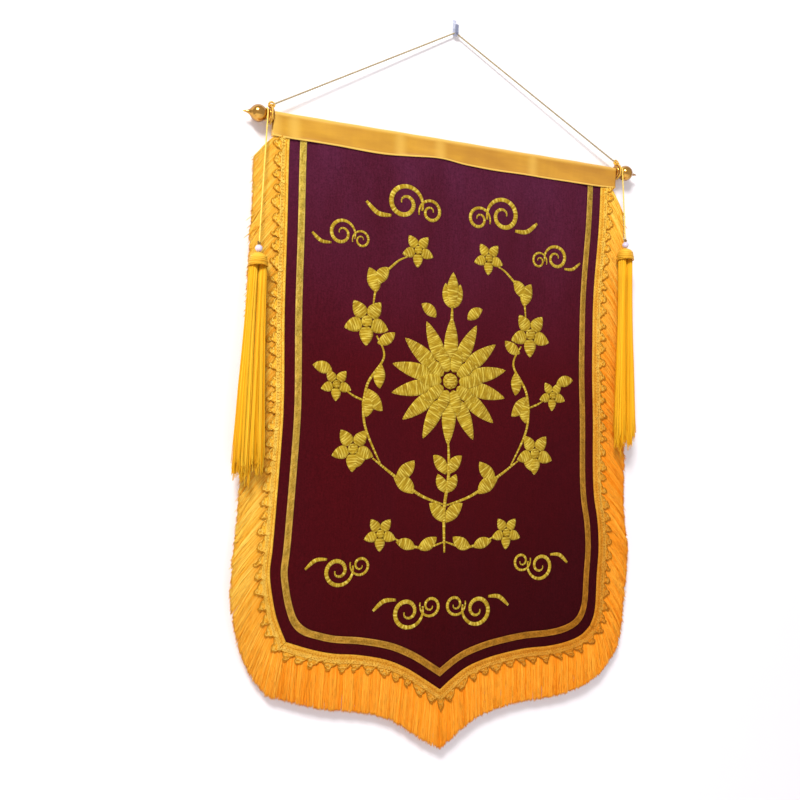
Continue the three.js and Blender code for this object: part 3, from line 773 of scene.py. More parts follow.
# The end of the hanging cord: round the finial's collar, with a small eye and a knot on top.
def makeCordEnd(name, side):
    size = hangingCord
    centre = hang + (side * size["loopX"], 0, size["loopHeight"])
    turn = np.linspace(0.5 * math.pi, 2.5 * math.pi, 64)
    ring = centre + np.stack([0 * turn, np.cos(turn), np.sin(turn)], 1) * size["loopRadius"]
    loop = layTube("loop", ring * mm, size["radius"], 12, strands=2, twist=9.0, ridge=0.4)
    # The knot is the same cord turned round its own neck.
    top = centre + (0, 0, size["knotHeight"])
    turn = np.linspace(0, 2 * math.pi * size["knotTurns"], 56)
    knot = top + coil(turn, size["knotReach"], np.linspace(-size["knotRise"], size["knotRise"], 56))
    wrap = layTube("wrap", knot * mm, 1.7, 10, strands=2, twist=7.0, ridge=0.3)
    turn = np.linspace(0, 2 * math.pi, 40)
    eye = top + coil(turn, size["eyeReach"], np.sin(turn) * size["eyeReach"], size["eyeDepth"])
    eye = eye + np.array(size["eyePlace"]) * (-side, 1, 1)
    ringEye = layTube("eye", eye * mm, 1.5, 10, strands=2, twist=7.0, ridge=0.3)
    return joinPieces(name, [loop, wrap, ringEye])


def makeHangingCord():
    route = smoothRoute(hangingCord["route"], 0.75)
    cord = layCord("hanging cord", hangingCord, route, 2)
    hand(cord, "hanging_cord_twisted", hangingCordMaterial, "hanging_cord", "hanging_cord")
    ends = [hand(makeCordEnd("cord end", side), f"cord_knot_{name}", knotMaterial, "hanging_cord",
                 f"cord_loop_{name}") for name, side in (("left", -1), ("right", 1))]


makeHangingCord()
print("hanging cord made")


# The two tassel cords, from under the finial's neck, over it and down to the tassel's head.
tasselCord = {
    "radius": 1.2, "twist": 6.5, "ridge": 0.35,
    "left": {
        "length": 258, "bead": (-333.7, -38.1, -416.8),
        "route": [
            (-324.4, -9.9, -210.3), (-324.4, -7.4, -207), (-324.4, -6.5, -203),
            (-324.4, -7.8, -198.2), (-324.4, -11.2, -194.8), (-324.4, -16, -193.5),
            (-324.4, -20.8, -194.8), (-324.4, -24.2, -198.2), (-324.4, -25.5, -202.3),
            (-325, -26.3, -215.6), (-325.8, -27.4, -235.4), (-327.3, -29.4, -268.4),
            (-328.7, -31.3, -301.5), (-330.2, -33.3, -334.6), (-331.6, -35.2, -367.6),
            (-332.8, -36.9, -396.3), (-333.7, -38.1, -416.1), (-334, -38.5, -422.7),
        ],
    },
    "right": {
        "length": 181, "bead": (336, -38, -339.8),
        "route": [
            (334.4, -9.9, -210.3), (334.4, -7.4, -207), (334.4, -6.5, -203),
            (334.4, -7.8, -198.2), (334.4, -11.2, -194.8), (334.4, -16, -193.5),
            (334.4, -20.8, -194.8), (334.4, -24.2, -198.2), (334.4, -25.5, -202.3),
            (334.5, -26.3, -210.9), (334.6, -27.4, -223.8), (334.9, -29.4, -245.3),
            (335.1, -31.3, -266.9), (335.4, -33.3, -288.4), (335.6, -35.2, -309.9),
            (335.8, -36.9, -328.5), (336, -38.1, -341.4), (336, -38.5, -345.7),
        ],
    },
}
beadSize = {"radius": 5.75, "hole": 1.7}
knotSize = {"radius": 1.15, "reach": 1.7, "turns": 1.7, "low": -1.6, "high": 2.2, "over": 2.2}


# A turned piece: a ring is extruded and scaled along rows of radius and height, then set in place.
def turnPiece(name, rows, sides, place, tilt=(0, 0, 0)):
    selectOnly()
    (firstRadius, firstHeight), rest = rows[0], rows[1:]
    bpy.ops.mesh.primitive_circle_add(
        vertices=sides, radius=firstRadius * mm, fill_type="NGON", location=(0, 0, firstHeight * mm))
    piece = bpy.context.object
    piece.name = name
    bpy.ops.object.transform_apply(location=True, rotation=True, scale=True)
    openMesh("FACE")
    radius, height = firstRadius, firstHeight
    for nextRadius, nextHeight in rest:
        bpy.ops.mesh.extrude_region_move(
            TRANSFORM_OT_translate={"value": (0, 0, (nextHeight - height) * mm)})
        scale = nextRadius / radius
        bpy.ops.transform.resize(value=(scale, scale, 1), center_override=(0, 0, nextHeight * mm))
        radius, height = nextRadius, nextHeight
    bpy.ops.mesh.select_all(action="SELECT")
    bpy.ops.mesh.remove_doubles(threshold=1e-6)
    closeMesh()
    piece.rotation_euler = tilt
    piece.location = [value * mm for value in place]
    bpy.ops.object.transform_apply(location=True, rotation=True, scale=True)
    bpy.ops.object.shade_smooth_by_angle(angle=math.radians(38))
    return piece


# The bead, turned round its hole, with a small knot of the cord above it.
def makeBead(name):
    place = tasselCord[name]["bead"]
    holeTurn = math.asin(beadSize["hole"] / beadSize["radius"])
    outside = np.linspace(math.pi - holeTurn, holeTurn, 24)
    rows = [(beadSize["radius"] * math.sin(turn), beadSize["radius"] * math.cos(turn)) for turn in outside]
    rows.append((beadSize["hole"] * 0.92, rows[-1][1] - 1.2))
    bead = turnPiece(f"bead {name}", rows, 36, place)
    return hand(bead, f"pearl_bead_{name}", pearlMaterial, "bead", f"bead_{name}")


def makeKnot(name):
    turn = np.linspace(0, 2 * math.pi * knotSize["turns"], 48)
    rise = np.linspace(knotSize["low"], knotSize["high"], 48) + beadSize["radius"] + knotSize["over"]
    line = coil(turn, knotSize["reach"], rise) + tasselCord[name]["bead"]
    knot = layTube("knot", line * mm, knotSize["radius"], 10, 3, 5.0, 0.3)
    return hand(knot, f"tassel_knot_{name}", shadedKnotMaterial, "tassel_cord")


def makeTasselCord(name):
    size = tasselCord[name]
    route = smoothRoute(size["route"], 0.65)
    cord = layCord("tassel cord", tasselCord, route, 3)
    hand(cord, f"tassel_cord_{name}_twisted", tasselCordMaterial, "tassel_cord", f"tassel_cord_{name}")
    pieces = [makeBead(name), makeKnot(name)]


for end in ("left", "right"):
    makeTasselCord(end)
print("tassel cords, knots and beads made")


# The velvet: a sheet from inside the heading to its pointed foot, in the cloth's slow waves.
velvet = {
    "thickness": 1.6, "topDrop": 21, "farDrop": 2000.0, "tuck": 10, "columns": 110, "rows": 150,
    "flat": (620, 903), "area": 0.500, "gather": 0.3, "gatherLength": 7.5, "gatherFade": 110,
    "drag": 0.25, "dragLength": 23, "dragFrom": (60, 240),
}


def velvetShape(u, v):
    share = 2 * u - 1
    bottomX = share * reachAt(share, np.full_like(share, velvet["farDrop"]))
    lowest = np.interp(bottomX, footLine[:, 0], footLine[:, 1]) + velvet["tuck"]
    drop = lowest + (velvet["topDrop"] - lowest) * v
    x = share * (reachAt(share, drop) + velvet["tuck"])
    gathers = velvet["gather"] * np.sin(x / velvet["gatherLength"] + 2 * np.sin(drop / 70))
    gathers = gathers * np.exp(-drop / velvet["gatherFade"])
    drag = velvet["drag"] * np.sin((x + drop * 0.4) / velvet["dragLength"])
    drag = drag * smoothstep(abs(x), *velvet["dragFrom"])
    return onCloth(x, -drop, velvet["thickness"] / 2 + gathers + drag)


def makeVelvetPanel():
    width, height = velvet["flat"]
    panel = layGrid("velvet", velvet["columns"], velvet["rows"], velvetShape, width * mm, height * mm)
    thicken(panel, velvet["thickness"])
    return hand(panel, "velvet_banner", velvetMaterial, "velvet", "velvet_panel")


velvetPanel = makeVelvetPanel()
print("velvet made")


# The heading: satin folded over the rod, its front edge hemmed and wavy.
heading = {
    "halfWidth": 318, "flare": 1.5, "wall": 1.2, "thickness": 0.8, "top": 5.4, "looseness": 0.7,
    "seamHalf": 1.3, "rodDrop": 7, "hem": 3.4, "columns": 260, "rows": 64, "overTrim": 1.7,
    "flat": (639, 90), "frontShare": 0.42, "trimFrom": (225, 262), "hemRise": 0.4, "edgeFall": 0.2,
    "wrinkle": 0.35, "wrinkleLength": 13, "sag": 0.5, "sagLength": 41, "lump": 0.35,
    "edge": [(-320, 39), (-220, 40), (-145, 42), (-80, 38), (-27, 34.5), (20, 38.5),
             (75, 40.5), (170, 39.5), (260, 40.5), (320, 38)],
}
headingLine = throughPoints(heading["edge"], 200)


def headingShape(u, v):
    share = 2 * u - 1
    seam = np.interp(share * heading["halfWidth"], headingLine[:, 0], headingLine[:, 1])
    radius = heading["top"] + heading["looseness"] * (1 + np.sin(share * 10))
    front = heading["frontShare"]
    fall = np.where(v < 0.5, np.clip(1 - v / front, 0, 1), np.clip((v - 1 + front) / front, 0, 1))
    turn = np.clip((v - front) / (1 - 2 * front), 0, 1) * math.pi
    isFront = v < front
    isOver = (v >= front) & (v <= 1 - front)
    x = share * (heading["halfWidth"] + heading["flare"] * fall)
    drop = heading["rodDrop"] + (seam - heading["rodDrop"]) * fall
    overTrim = heading["overTrim"] * smoothstep(abs(x), *heading["trimFrom"]) * fall ** 2
    half = radius + (heading["seamHalf"] - radius) * fall ** 0.9 + heading["wall"]
    fromEdge = drop - seam
    hem = heading["hemRise"] * smoothstep(fromEdge, -heading["hem"] - 0.8, -heading["hem"])
    hem = hem - heading["edgeFall"] * smoothstep(fromEdge, -0.5, 0)
    wrinkle = heading["wrinkle"] * np.sin(x / heading["wrinkleLength"] + 1.5 * np.sin(drop / 9))
    wrinkle = wrinkle * fall * (1 - fall) * 4
    sag = heading["sag"] * np.sin(x / heading["sagLength"] + 0.8) * np.sin(math.pi * fall)
    frontLift = half + overTrim + hem + wrinkle + sag
    lump = heading["lump"] * np.sin(x / 17 + 1) * np.sin(x / 29) * np.sin(turn)
    top = heading["top"] + heading["wall"] + lump
    depth = np.where(isOver, -np.cos(turn) * (radius + heading["wall"]),
                     clothDepth(x, drop) * fall + np.where(isFront, -frontLift, half))
    height = np.where(isOver, np.sin(turn) * top - heading["rodDrop"], -drop)
    return (np.stack([x, depth, height], -1) + hang) * mm


def makeHeading():
    width, height = heading["flat"]
    sleeve = layGrid("heading", heading["columns"], heading["rows"], headingShape, width * mm, height * mm)
    thicken(sleeve, heading["thickness"])
    hand(sleeve, "satin_sleeve", satinMaterial, "satin", "satin_heading")
    return sleeve


makeHeading()
print("heading made")


# The gold ribbon, one length along the velvet, eased round the two side corners and folded at the point.
ribbon = {
    "inset": 16.9, "width": ribbonLook["width"], "lift": 2.1, "thickness": 0.7, "crown": 0.25,
    "columns": 900, "rows": 8, "easeReach": 60, "easeHalf": 26, "fold": 0.5, "foldReach": 6,
    "selvage": 0.15, "pucker": 0.12, "puckerLength": 2.1,
}


def easedLine(distance):
    share = np.linspace(0, 1, int(edgeLength))
    x, height = besideAt(share, np.full_like(share, distance))
    line = np.stack([x, height], 1)
    smooth = np.stack([runningMean(column, ribbon["easeHalf"]) for column in line.T], 1)
    near = np.zeros_like(share)
    for corner in (cornerShare[1], cornerShare[3]):
        apart = abs(share - corner) * edgeLength
        near = np.maximum(near, 1 - smoothstep(apart, ribbon["easeReach"] / 2, ribbon["easeReach"]))
    return share, line + (smooth - line) * near[:, None]


def ribbonShape(u, v):
    share, outer = easedLine(-ribbon["inset"])
    inner = easedLine(-ribbon["inset"] - ribbon["width"])[1]
    x, height = [np.interp(u, share, outer[:, axis]) * (1 - v) + np.interp(u, share, inner[:, axis]) * v
                 for axis in (0, 1)]
    middle = 1 - (2 * v - 1) ** 2
    fold = ribbon["fold"] * np.exp(-((u - cornerShare[2]) * edgeLength / ribbon["foldReach"]) ** 2)
    selvage = ribbon["selvage"] * np.cos(2 * math.pi * v * 4) * (abs(v - 0.5) > 0.3)
    pucker = ribbon["pucker"] * np.sin(u * edgeLength / ribbon["puckerLength"])
    return onCloth(x, height, ribbon["lift"] + ribbon["crown"] * middle + fold + selvage + pucker)


def makeGoldRibbon():
    size = edgeLength * mm, ribbon["width"] * mm
    strip = layGrid("ribbon", ribbon["columns"], ribbon["rows"], ribbonShape, *size)
    thicken(strip, ribbon["thickness"])
    return hand(strip, "woven_ribbon", ribbonMaterial, "ribbon", "gold_ribbon")


goldRibbon = makeGoldRibbon()
print("ribbon made")


# The braid: a ribbed band whose outer edge runs in a zigzag over the fringe, with gimp cords on it.
braid = {
    "width": 27, "valley": 12.5, "period": 22.6, "band": 10.5, "bandShare": 0.6, "rows": 20, "step": 2.0,
    "thickness": 0.7, "gap": 0.15,
    "ribs": [(0, 1.7), (0.6, 2.5), (2.0, 2.8), (3.6, 2.55), (4.4, 2.1), (5.2, 2.6), (6.4, 2.9),
             (7.4, 2.35), (8.4, 2.9), (10.5, 2.85), (40, 3.0)],
    "gimpLift": 3.3,
    # distance outside the edge or from the zigzag, reach across, reach along, pitch, radius, lift
    "loops": [("edge", 11.0, 2.2, 2.7, 5.3, 0.75, 0.5), ("zigzag", -4.0, 2.2, 2.6, 4.7, 0.75, 0.5)],
    "gimp": ("zigzag", 0.3, 0.5, 1.1, 5.65, 0.9, 1.1),
    "stitchRows": [(5.6, 0.85), (9.0, 0.5)], "stitchPitch": 4.6, "stitchLength": 3.9,
    "pointLoop": 3, "pointReach": 12, "cross": 0.18, "crossLength": 0.62, "crossFrom": 8, "grain": 0.1,
}


def zigzag(share):
    along = (share - cornerShare[2]) * edgeLength / braid["period"]
    along = along + 0.1 * np.sin(along * 1.7) + 0.06 * np.sin(along * 4.3)
    saw = np.abs(2 * (along - np.floor(along)) - 1)
    tooth = 0.6 * saw + 0.4 * (0.5 - 0.5 * np.cos(math.pi * saw))
    tall = 1 + 0.08 * np.sin(along * 2.9)
    atPoint = np.exp(-((share - cornerShare[2]) * edgeLength / braid["pointReach"]) ** 2)
    return braid["valley"] + (braid["width"] - braid["valley"]) * tooth * tall + braid["pointLoop"] * atPoint


def braidShape(low, high):
    def shape(u, v):
        share = low + (high - low) * u
        out = 1 - v
        band = braid["bandShare"]
        inner = out / band * braid["band"]
        outer = braid["band"] + (zigzag(share) - braid["band"]) * (out - band) / (1 - band)
        distance = np.where(out <= band, inner, outer)
        lift = np.interp(distance, *np.array(braid["ribs"]).T)
        texture = braid["cross"] * np.sin(share * edgeLength / braid["crossLength"])
        texture = texture * (distance > braid["crossFrom"]) + braid["grain"] * np.sin(distance * 2.2)
        x, height = besideAt(share, distance)
        return onCloth(x, height, lift + texture)

    return shape


def braidSpan(first, last):
    gap = braid["gap"] / edgeLength
    return cornerShare[first] + gap, cornerShare[last] - gap


# A fine cord sewn down in loops, each crossing over its own start.
def layLoops(name, low, high, follows, distance, reachAcross, reachAlong, pitch, radius, lift):
    turns = (high - low) * edgeLength / pitch
    share = np.linspace(low, high, int(turns * 13))
    phase = 2 * math.pi * share * edgeLength / pitch
    middle = distance + (zigzag(share) if follows == "zigzag" else 0)
    curled = np.clip(share + reachAlong / edgeLength * np.sin(phase), low, high)
    x, height = besideAt(curled, middle + reachAcross * np.cos(phase))
    rise = braid["gimpLift"] + lift + 0.5 * np.sin(phase + 0.8)
    return layTube(name, onCloth(x, height, rise), radius, 5)


def makeBraid(name, first, last):
    low, high = braidSpan(first, last)
    length = (high - low) * edgeLength
    band = layGrid("braid", int(length / braid["step"]), braid["rows"], braidShape(low, high), length * mm,
                   braid["width"] * mm)
    thicken(band, braid["thickness"])
    hand(band, f"braid_{name}", braidMaterial, "fringe")
    brown = layLoops("gimp", low, high, *braid["gimp"])
    hand(brown, f"gimp_{name}", gimpMaterial, "fringe")
    cream = joinPieces("loops", [layLoops("loops", low, high, *row) for row in braid["loops"]])
    hand(cream, f"cream_gimp_{name}", creamGimpMaterial, "fringe")
    return [band, brown, cream]


# Many copies of one small mesh, each laid out by its own points, joined into one piece.
def repeatMesh(name, template, points, uv=None):
    count, size = points.shape[:2]
    corners = np.empty(len(template.loops), np.int32)
    template.loops.foreach_get("vertex_index", corners)
    starts = np.empty(len(template.polygons), np.int32)
    template.polygons.foreach_get("loop_start", starts)
    order = np.arange(count)[:, None]
    mesh = bpy.data.meshes.new(name)
    mesh.vertices.add(count * size)
    mesh.loops.add(count * len(corners))
    mesh.polygons.add(count * len(starts))
    mesh.vertices.foreach_set("co", points.astype(np.float32).ravel())
    mesh.loops.foreach_set("vertex_index", (corners + order * size).astype(np.int32).ravel())
    mesh.polygons.foreach_set("loop_start", (starts + order * len(corners)).astype(np.int32).ravel())
    mesh.polygons.foreach_set("use_smooth", np.ones(count * len(starts), bool))
    if uv is not None:
        layer = mesh.uv_layers.new(name="UVMap")
        layer.uv.foreach_set("vector", uv[:, corners].astype(np.float32).ravel())
    mesh.update(calc_edges=True)
    piece = bpy.data.objects.new(name, mesh)
    bpy.context.scene.collection.objects.link(piece)
    return piece


def takeMesh(piece):
    mesh = piece.data
    bpy.data.objects.remove(piece)
    return mesh


# One thread: three sides, extruded in segments of equal height and closed to a point.
def modelThread(segments):
    selectOnly()
    bpy.ops.mesh.primitive_circle_add(vertices=3, radius=1, fill_type="NGON")
    openMesh("FACE")
    for _ in range(segments):
        bpy.ops.mesh.extrude_region_move(TRANSFORM_OT_translate={"value": (0, 0, 1 / segments)})
    bpy.ops.mesh.merge(type="CENTER")
    closeMesh()
    return takeMesh(bpy.context.object)


# Threads: centres at each station of the template, thick by radius, with two directions across.
def layThreads(name, template, segments, centres, across, deep, radii, tone):
    local = readPoints(template)
    row = np.rint(local[:, 2] * segments).astype(int)
    reach = radii[row][None, :, None]
    points = (centres[:, row] + across[:, None] * local[None, :, 0:1] * reach
              + deep[:, None] * local[None, :, 1:2] * reach)
    uv = np.stack(np.broadcast_arrays(tone[:, None], local[None, :, 2]), -1)
    return repeatMesh(name, template, points, uv)


# One sewing stitch: a small rounded bar.
def modelStitch():
    selectOnly()
    bpy.ops.mesh.primitive_uv_sphere_add(segments=6, ring_count=4, radius=1)
    bpy.ops.object.mode_set(mode="EDIT")
    bpy.ops.mesh.select_all(action="SELECT")
    bpy.ops.transform.resize(value=(1, 1, 0.8), center_override=(0, 0, 0))
    bpy.ops.object.mode_set(mode="OBJECT")
    return takeMesh(bpy.context.object)


stitchTemplate = modelStitch()


def layStitches(name, start, end, radius):
    middle = (start + end) / 2
    along = end - start
    length = np.linalg.norm(along, axis=1)[:, None]
    along = along / length
    deep = np.array([[0.0, -1.0, 0.0]])
    side = np.cross(along, deep)
    local = readPoints(stitchTemplate)
    points = (middle[:, None] + along[:, None] * local[None, :, 2:3] * length[:, None] * 0.6
              + side[:, None] * local[None, :, 0:1] * radius * mm
              + deep[:, None] * local[None, :, 1:2] * radius * mm)
    return repeatMesh(name, stitchTemplate, points)


def makeEdgeStitches(name, first, last):
    low, high = braidSpan(first, last)
    rows = []
    for distance, radius in braid["stitchRows"]:
        count = int((high - low) * edgeLength / braid["stitchPitch"])
        share = np.linspace(low, high, count, endpoint=False) + 0.5 / edgeLength
        lift = np.interp(distance, *np.array(braid["ribs"]).T) + 0.25
        ends = []
        for reach in (0, braid["stitchLength"] / edgeLength):
            x, height = besideAt(share + reach, np.full_like(share, distance))
            ends.append(onCloth(x, height, lift))
        rows.append(layStitches("stitches", ends[0], ends[1], radius))
    return hand(joinPieces("stitches", rows), f"braid_stitches_{name}", gimpMaterial, "fringe")


# The fringe: fine threads from under the braid, outward and then more steeply down.
fringe = {
    "length": 63, "root": 23, "rootDepth": 4, "underBraid": 14.5, "bend": 0.38, "sag": 0.35,
    "spacing": 0.145, "segments": 5, "radius": 0.5, "lock": 6.2, "strand": 1.1, "gather": 0.035,
    "lockSway": 0.8, "uneven": 0.02, "stray": 0.06, "strayReach": 4, "curl": 0.8, "smoothing": 26,
    "lockDepth": 0.35, "lockUneven": 0.007, "strandDepth": 0.3, "tipAt": 0.965, "spreadFrom": (0.08, 0.4),
    "rootLift": 1.55, "rootLayer": 0.45, "lift": 0.45, "layer": 1.35,
    "swell": [0.8, 1.0, 1.05, 1.05, 1.0, 0.6],  # of the radius, from root to tip
    # The tone by depth is painted shade: threads further back are darker.
    "tones": (0.15, 0.4, 0.45, 0.2),  # by lock, by strand, by thread and by depth
    "fall": [(0, 0.95), (0.03, 1.25), (0.07, 1.15), (0.2, 1.1), (0.27, 1.0), (0.34, 1.15), (0.4, 4),
             (0.5, 5), (0.6, 4), (0.66, 1.2), (0.72, 1.1), (0.78, 0.85), (0.86, 1.0), (0.93, 1.2),
             (0.97, 1.3), (1, 1.3)],
    "lengths": [(0, 0.80), (0.05, 0.97), (0.1, 1.0), (0.24, 0.98), (0.31, 0.92), (0.36, 0.95), (0.42, 1.0),
                (0.5, 1.03), (0.58, 1.0), (0.64, 0.92), (0.7, 0.94), (0.78, 1.0), (0.94, 0.98), (1, 0.78)],
}


# Which way the threads leave, all along the edge, turning smoothly round the corners.
def fringeDirections():
    line = besideEdge(fringe["root"])
    outward = unit(outwardAlong(line))
    rootShare = lengthsAlong(line) / lengthsAlong(line)[-1]
    fall = np.interp(rootShare, *np.array(fringe["fall"]).T)
    direction = unit(outward - np.stack([np.zeros_like(fall), fall], 1))
    even = np.linspace(0, 1, int(edgeLength / 2))
    half = int(fringe["smoothing"] / 2)
    smooth = [runningMean(np.interp(even, edgeShare, column), half) for column in direction.T]
    return even, np.array(smooth)


directionShare, directionTable = fringeDirections()
fringeThread = modelThread(fringe["segments"])


def makeFringe(name, first, last, seed):
    random = np.random.default_rng(seed)
    low, high = braidSpan(first, last)
    count = int((high - low) * edgeLength / fringe["spacing"])
    share = low + (high - low) * (np.arange(count) + random.random(count)) / count
    lead = unit(np.stack([np.interp(share, directionShare, values) for values in directionTable], 1))
    tail = unit(lead + (0, -fringe["sag"]))
    side = np.stack([-lead[:, 1], lead[:, 0]], 1)
    rootX, rootHeight = besideAt(share, np.full(count, float(fringe["root"])))
    root = np.stack([rootX, rootHeight], 1)

    # Threads lie in locks that draw together towards their tips.
    place = (share - low) * edgeLength / fringe["lock"]
    place = place + 0.25 * np.sin(place * 2.1) + 0.2 * np.sin(place * 5.3 + 1)
    lockIndex = np.floor(place).astype(int)
    offset = (place - lockIndex - 0.5) * fringe["lock"]
    locks = lockIndex.max() + 1
    sway = random.normal(0, fringe["lockSway"], locks)[lockIndex]
    lockDepth = random.normal(0, fringe["lockDepth"], locks)[lockIndex]
    lockTone = random.random(locks)[lockIndex]
    lockLength = random.normal(0, fringe["lockUneven"], locks)[lockIndex]
    strandIndex = ((share - low) * edgeLength / fringe["strand"]).astype(int)
    strandTone = random.random(strandIndex.max() + 1)[strandIndex]
    strandDepth = random.normal(0, fringe["strandDepth"], strandIndex.max() + 1)[strandIndex]
    length = fringe["length"] * (1 + lockLength + random.normal(0, fringe["uneven"], count))
    length = length * np.interp(share, *np.array(fringe["lengths"]).T)
    length = length + fringe["rootDepth"]
    loose = (random.random(count) < fringe["stray"]) * random.normal(0, fringe["strayReach"], count)
    own = random.normal(0, 1.0, count)
    depth = random.uniform(-1, 1, count)

    stations = np.append(np.linspace(0, fringe["tipAt"], fringe["segments"]), 1)
    total = length + fringe["underBraid"]
    run = total[:, None] * stations - fringe["underBraid"]
    part = np.clip(run / length[:, None], 0, 1)
    bend = fringe["bend"] * length[:, None, None]
    past = part[:, :, None]
    curve = 2 * past * (1 - past) * lead[:, None] * bend
    curve = curve + past ** 2 * (lead[:, None] * bend + tail[:, None] * (length[:, None, None] - bend))
    under = np.clip(run, -fringe["underBraid"], 0)[:, :, None] * lead[:, None]
    aside = (sway + own)[:, None] * part ** 1.4 + loose[:, None] * part ** 2
    aside = aside - (offset * fringe["gather"])[:, None] * part ** 1.2
    phase = random.uniform(0, 2 * math.pi, count)[:, None]
    aside = aside + fringe["curl"] * np.sin(part * 7 + phase) * part
    flat = root[:, None] + under + curve + side[:, None] * aside[:, :, None]
    spread = smoothstep(part, *fringe["spreadFrom"])
    lift = fringe["rootLift"] + fringe["rootLayer"] * depth[:, None] * (1 - spread)
    lift = lift + (fringe["lift"] + fringe["layer"] * depth[:, None]) * spread
    lift = lift + (lockDepth + strandDepth)[:, None] * part + 0.15 * np.abs(loose)[:, None] * part
    rootDepthLine = clothDepth(root[:, 0], -root[:, 1])[:, None]
    centres = (np.stack([flat[:, :, 0], rootDepthLine - lift, flat[:, :, 1]], -1) + hang) * mm
    across = np.stack([side[:, 0], np.zeros(count), side[:, 1]], 1)
    deep = np.tile((0.0, -1.0, 0.0), (count, 1))
    radii = fringe["radius"] * np.array(fringe["swell"]) * mm
    byLock, byStrand, byThread, shadeByDepth = fringe["tones"]
    # Threads further back are painted darker, painted shade.
    tone = byLock * lockTone + byStrand * strandTone + byThread * random.random(count) + shadeByDepth * depth
    tone = np.clip(tone, 0, 1)
    threads = layThreads("fringe", fringeThread, fringe["segments"], centres, across, deep, radii, tone)
    return hand(threads, f"fringe_threads_{name}", fringeMaterial, "fringe", f"fringe_{name}")


trims = [goldRibbon]
for seed, (name, first, last) in enumerate((("left", 0, 1), ("foot", 1, 3), ("right", 3, 4))):
    trims += makeBraid(name, first, last)
    trims.append(makeEdgeStitches(name, first, last))
    trims.append(makeFringe(name, first, last, 11 + seed))
print("braid and fringe made")


# The tassels: a domed head wound with thread, a gimp round its rim, and a skirt in two bundles.
tassel = {
    "head": [
        (0.6, 0.15), (2.6, 0), (5, -0.6), (7.6, -1.7), (10, -3.3), (12, -5.2), (13.2, -7),
        (13.5, -8.1), (12.9, -8.8), (13.8, -9.5), (14.3, -10.5), (14.0, -11.4), (13.5, -11.8),
        (14.2, -12.5), (14.7, -13.4), (14.3, -14.2), (13.9, -14.6), (14.8, -15.4), (15.3, -16.6),
        (15.0, -17.8), (14.0, -18.6), (11, -18.9),
    ],
    "headHeight": 19, "forward": 22.5, "rimRadius": 14.6, "rimWave": -0.8, "rimWaves": 2,
    "bundleOffset": 6.7, "ringRadius": 4.8, "locks": 11, "tipWidth": 3.8, "tipDepth": 6,
    "threads": 640, "threadRadius": 0.62, "lockRadius": 2.1, "segments": 9, "uneven": 0.022,
    "lockUneven": 0.024, "sway": 0.9, "stray": 0.04, "strayReach": 3.0, "tipAt": 0.996, "waist": 0.18,
    "swell": [1, 1, 1, 1, 1, 1, 1, 1, 0.95, 0.6],  # of the radius, from root to tip
    # The tone by place is painted shade: threads in the core of a lock are darker.
    "tones": (0.3, 0.25, 0.3, 0.3),  # by lock, by strand, by thread and by its place in the lock
    "left": {"x": -339, "drop": 227, "lean": -4, "spread": 12, "length": 324},
    "right": {"x": 331, "drop": 150, "lean": 9, "spread": 10.5, "length": 336},
}
tasselThread = modelThread(tassel["segments"])


def makeTasselHead(name, place):
    head = turnPiece("head", tassel["head"], 48, place)
    turn = np.linspace(0, 2 * math.pi, 220)
    wave = tassel["rimWave"] * np.cos(turn * tassel["rimWaves"])
    rim = np.stack([np.cos(turn) * tassel["rimRadius"], np.sin(turn) * tassel["rimRadius"],
                    wave - tassel["headHeight"] - 0.6], 1)
    gimp = layTube("rim", (rim + place) * mm, 1.15, 8, 2, 3.2, 0.35)
    second = rim * (1.02, 1.02, 1) + (0, 0, 3.4)
    second[:, 2] = -tassel["headHeight"] + 3.6 - wave * 0.25
    band = layTube("rim band", (second + place) * mm, 0.7, 8, 2, 2.4, 0.35)
    hand(joinPieces("rim", [gimp, band]), f"tassel_rim_{name}", rimMaterial, "tassel")
    return hand(head, f"tassel_head_{name}", headMaterial, "tassel", f"tassel_{name}")


